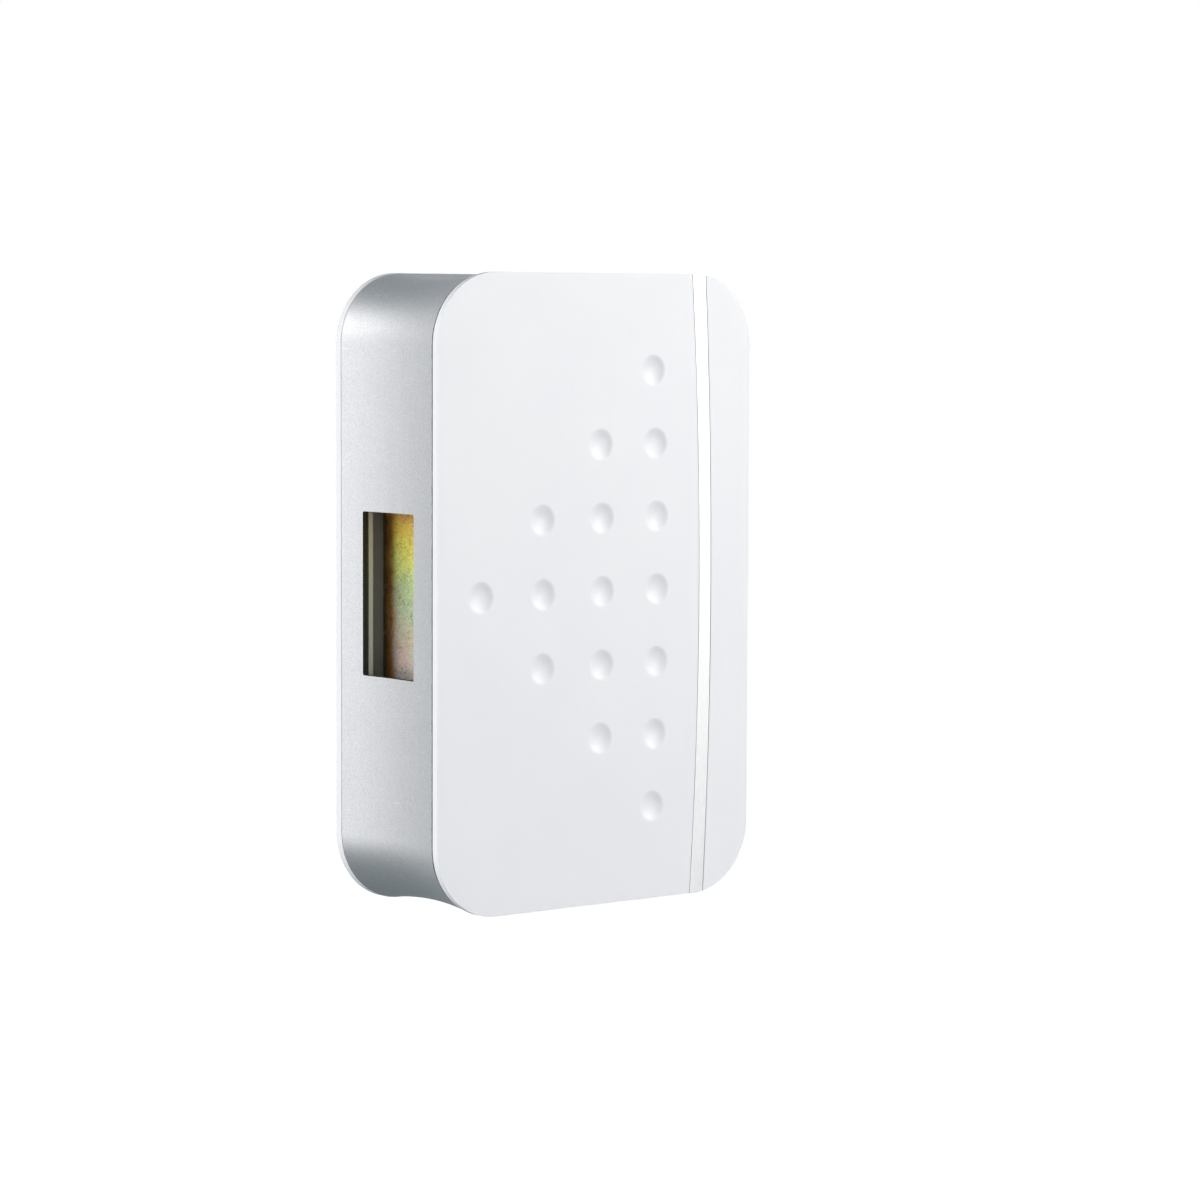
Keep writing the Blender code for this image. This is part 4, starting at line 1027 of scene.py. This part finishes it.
def make_terminals(cream, zinc):
    low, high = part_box("terminal_block")
    back, front = -high[1], -low[1]
    well_floor = front - 0.0022
    block = bevelled(box_mesh((low[0], low[2], back), (high[0], high[2], front)), 0.0005, 3)
    cuts = []
    for x in (-TERMINAL_X, 0, TERMINAL_X):
        cuts.append(bar(0.0027, well_floor, front + CUT_MARGIN, (x, BLOCK_UP)))
        shaft_floor = back - CUT_MARGIN if x == 0 else WIRE_OUT
        cuts.append(bar(0.0015, shaft_floor, well_floor + JOINT_GAP, (x, BLOCK_UP)))
        if x:
            bore = bar(0.0017, -0.006, 0.006)
            bore.transform(Matrix.Translation((x, BLOCK_UP, WIRE_OUT)) @ STAND_UP)
            cuts.append(bore)
            split_low, split_high = spanned(x / 2, 0.0002)
            split_top = (split_high, high[2] + CUT_MARGIN, front + CUT_MARGIN)
            cuts.append(box_mesh((split_low, low[2] - CUT_MARGIN, front - 0.0006), split_top))
    block = combined(block, cuts, "DIFFERENCE")
    finish_piece("terminals", block, [cream], "base", ["terminal_block"])
    screws = (("terminal_screw_left", -TERMINAL_X), ("block_screw", 0), ("terminal_screw_right", TERMINAL_X))
    for node, x in screws:
        screw_low, screw_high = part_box(node)
        head_height = 0.0016
        length = screw_high[1] - screw_low[1] - head_height
        screw = screw_mesh(0.0024, head_height, 0.0013, length, 20 + x * 9000)
        screw.transform(Matrix.Translation((x, BLOCK_UP, well_floor + JOINT_GAP)))
        finish_piece("fixing_" + node, screw, [zinc], "base", [node])


def smooth_path(points, steps):
    """Points along a smooth curve through the given ones."""
    places = [Vector(point) for point in points]
    places = [2 * places[0] - places[1], *places, 2 * places[-1] - places[-2]]
    path = []
    for a, b, c, d in zip(places, places[1:], places[2:], places[3:]):
        for step in range(steps):
            t = step / steps
            bend = (2 * a - 5 * b + 4 * c - d) * t**2 / 2
            path.append(b + (c - a) * t / 2 + bend + (3 * b - a - 3 * c + d) * t**3 / 2)
    path.append(places[-2])
    return [tuple(place) for place in path]


def make_leads(red, blue, copper):
    """Two sleeved leads, each with its bare copper end showing where it enters its terminal."""
    for name, side, cover, slot in (("left", -1, red, "red_sleeve"), ("right", 1, blue, "blue_sleeve")):
        route = [
            (side * 0.01625, -0.0126, AXIS_OUT - 0.004),
            (side * 0.01575, -0.0166, AXIS_OUT - 0.006),
            (side * 0.01025, -0.0221, WIRE_OUT + 0.0025),
            (side * TERMINAL_X, -0.0265, WIRE_OUT),
            (side * TERMINAL_X, -0.0325, WIRE_OUT),
        ]
        path = smooth_path(route, 16)
        stripped = [place for place in path if place[1] < -0.0285]
        covered = path[: len(path) - len(stripped) + 1]
        lead = merged([wire_mesh(covered, LEAD_DIAMETER), wire_mesh(stripped, LEAD_DIAMETER * 0.6)])
        piece = finish_piece("lead_" + name, lead, [cover, copper], "base", ["coil_lead_" + name])
        for polygon in piece.data.polygons:
            polygon.material_index = 1 if polygon.center.z < covered[-1][1] - 0.0001 else 0


# -------- camera, stage, lights


def make_camera():
    """The photograph's camera: 38.8 degrees round to the left, a little above, looking 4.2 degrees down."""
    yaw, pitch, roll = (math.radians(angle) for angle in (38.80, 4.24, 0.20))
    forward = Vector((math.sin(yaw) * math.cos(pitch), math.cos(yaw) * math.cos(pitch), -math.sin(pitch)))
    right = Vector((math.cos(yaw), -math.sin(yaw), 0))
    up = right.cross(forward)
    right, up = (
        right * math.cos(roll) + up * math.sin(roll),
        up * math.cos(roll) - right * math.sin(roll),
    )
    camera = bpy.data.objects.new("camera", bpy.data.cameras.new("camera"))
    camera.data.sensor_width = 36
    camera.data.lens = 113.22
    camera.data.clip_start = 0.01
    turn = Matrix((right, up, -forward)).transposed().to_4x4()
    camera.matrix_world = Matrix.Translation((-0.7075, -0.9323, 0.0810)) @ turn
    bpy.context.scene.collection.objects.link(camera)
    bpy.context.scene.camera = camera


def make_floor():
    """A pale floor well below the chime, which hangs as on a wall. It throws no light back up."""
    mesh = box_mesh((-6, -6, -1.21), (6, 6, -1.20))
    floor = new_object("floor", mesh)
    material = bpy.data.materials.new("floor")
    material.use_nodes = True
    shader = material.node_tree.nodes["Principled BSDF"]
    shader.inputs["Base Color"].default_value = (0.9, 0.9, 0.9, 1)
    shader.inputs["Roughness"].default_value = 0.9
    shader.inputs["Emission Color"].default_value = (1, 1, 1, 1)
    shader.inputs["Emission Strength"].default_value = 0.75
    mesh.materials.append(material)
    floor.visible_diffuse = False
    floor.visible_glossy = False


def make_world():
    """White to the camera; to the chime, a soft room that is brightest at eye level and darkest below."""
    world = bpy.data.worlds.new("world")
    bpy.context.scene.world = world
    world.use_nodes = True
    tree = world.node_tree
    background = tree.nodes["Background"]
    output = tree.nodes["World Output"]
    coordinates = tree.nodes.new("ShaderNodeTexCoord")
    split = tree.nodes.new("ShaderNodeSeparateXYZ")
    ramp = tree.nodes.new("ShaderNodeValToRGB")
    tones = ((0.25, (0.165, 0.198, 0.210)), (0.50, (0.655, 0.665, 0.690)), (0.75, (0.270, 0.299, 0.321)))
    ramp.color_ramp.elements.new(0.5)
    for element, (place, tone) in zip(ramp.color_ramp.elements, tones):
        element.position = place
        element.color = (*tone, 1)
    shift = tree.nodes.new("ShaderNodeMath")
    shift.operation = "MULTIPLY_ADD"
    shift.inputs[1].default_value = 0.5
    shift.inputs[2].default_value = 0.5
    tree.links.new(coordinates.outputs["Generated"], split.inputs[0])
    tree.links.new(split.outputs["Z"], shift.inputs[0])
    tree.links.new(shift.outputs[0], ramp.inputs["Fac"])
    tree.links.new(ramp.outputs["Color"], background.inputs["Color"])
    plain = tree.nodes.new("ShaderNodeBackground")
    plain.inputs["Color"].default_value = (1, 1, 1, 1)
    path = tree.nodes.new("ShaderNodeLightPath")
    choose = tree.nodes.new("ShaderNodeMixShader")
    tree.links.new(path.outputs["Is Camera Ray"], choose.inputs[0])
    tree.links.new(background.outputs[0], choose.inputs[1])
    tree.links.new(plain.outputs[0], choose.inputs[2])
    tree.links.new(choose.outputs[0], output.inputs["Surface"])


def make_light(name, place, target, size, power, colour=(1, 1, 1), glossy=True):
    """A softbox aimed at a point. Without glossy it lights a surface but isn't mirrored in it."""
    data = bpy.data.lights.new(name, "AREA")
    data.shape = "RECTANGLE"
    data.size, data.size_y = size
    data.energy = power
    data.color = colour
    light = bpy.data.objects.new(name, data)
    light.location = place
    aim = Vector(target) - Vector(place)
    light.rotation_euler = aim.to_track_quat("-Z", "Y").to_euler()
    bpy.context.scene.collection.objects.link(light)
    light.visible_camera = False
    light.visible_glossy = glossy


def make_lights():
    """Soft keys from the upper right, a low fill, and softboxes at the left side and behind it."""
    make_light("key_near", (1.00, -0.85, 0.42), (0, 0, 0), (0.6, 0.6), 4.6, (1.0, 0.985, 0.955))
    make_light("key_far", (1.15, -1.50, 0.45), (0, 0, 0), (1.4, 1.4), 17.0, (1.0, 0.99, 0.97))
    make_light("fill_low", (0.30, -1.90, -0.20), (0, 0, 0), (1.6, 0.8), 4.6)
    make_light("left_up", (-1.05, 0.70, 0.80), (0, 0, 0), (0.8, 0.8), 3.1, (1.0, 0.98, 0.96))
    make_light("left_tall", (-1.40, 0.80, 0.10), (0, 0, 0), (0.9, 1.7), 4.7, (1.0, 0.985, 0.98))
    make_light("left_side", (-1.70, 0.20, 0.08), (0, 0, 0), (0.6, 1.2), 15.5, glossy=False)


bpy.context.scene.view_settings.view_transform = "Standard"
make_camera()
make_floor()
make_world()
make_lights()

white = white_plastic()
silver = silver_paint()
dark = dark_plastic()
trim = satin_trim()
zinc = yellow_zinc()

make_front_panel(white)
make_trim_strip(trim)
make_waist(silver, dark)

# On the base this cream is painted shade and warm bounce light over white plastic.
cream = cream_plastic()
bright = bright_zinc()

make_base(white, cream)
make_tone_plates(zinc)
make_bushes(black_rubber(), bright)
make_solenoid_frame(bright)
copper = copper_enamel()
make_coil(black_plastic(), copper)
make_spring(spring_steel())
make_striker(bright, natural_nylon())
make_terminals(cream_plastic("terminal_cream"), bright)
make_leads(
    sleeve("red_sleeve", (0.42, 0.022, 0.018), (0.56, 0.040, 0.030)),
    sleeve("blue_sleeve", (0.020, 0.075, 0.36), (0.030, 0.110, 0.48)),
    copper,
)
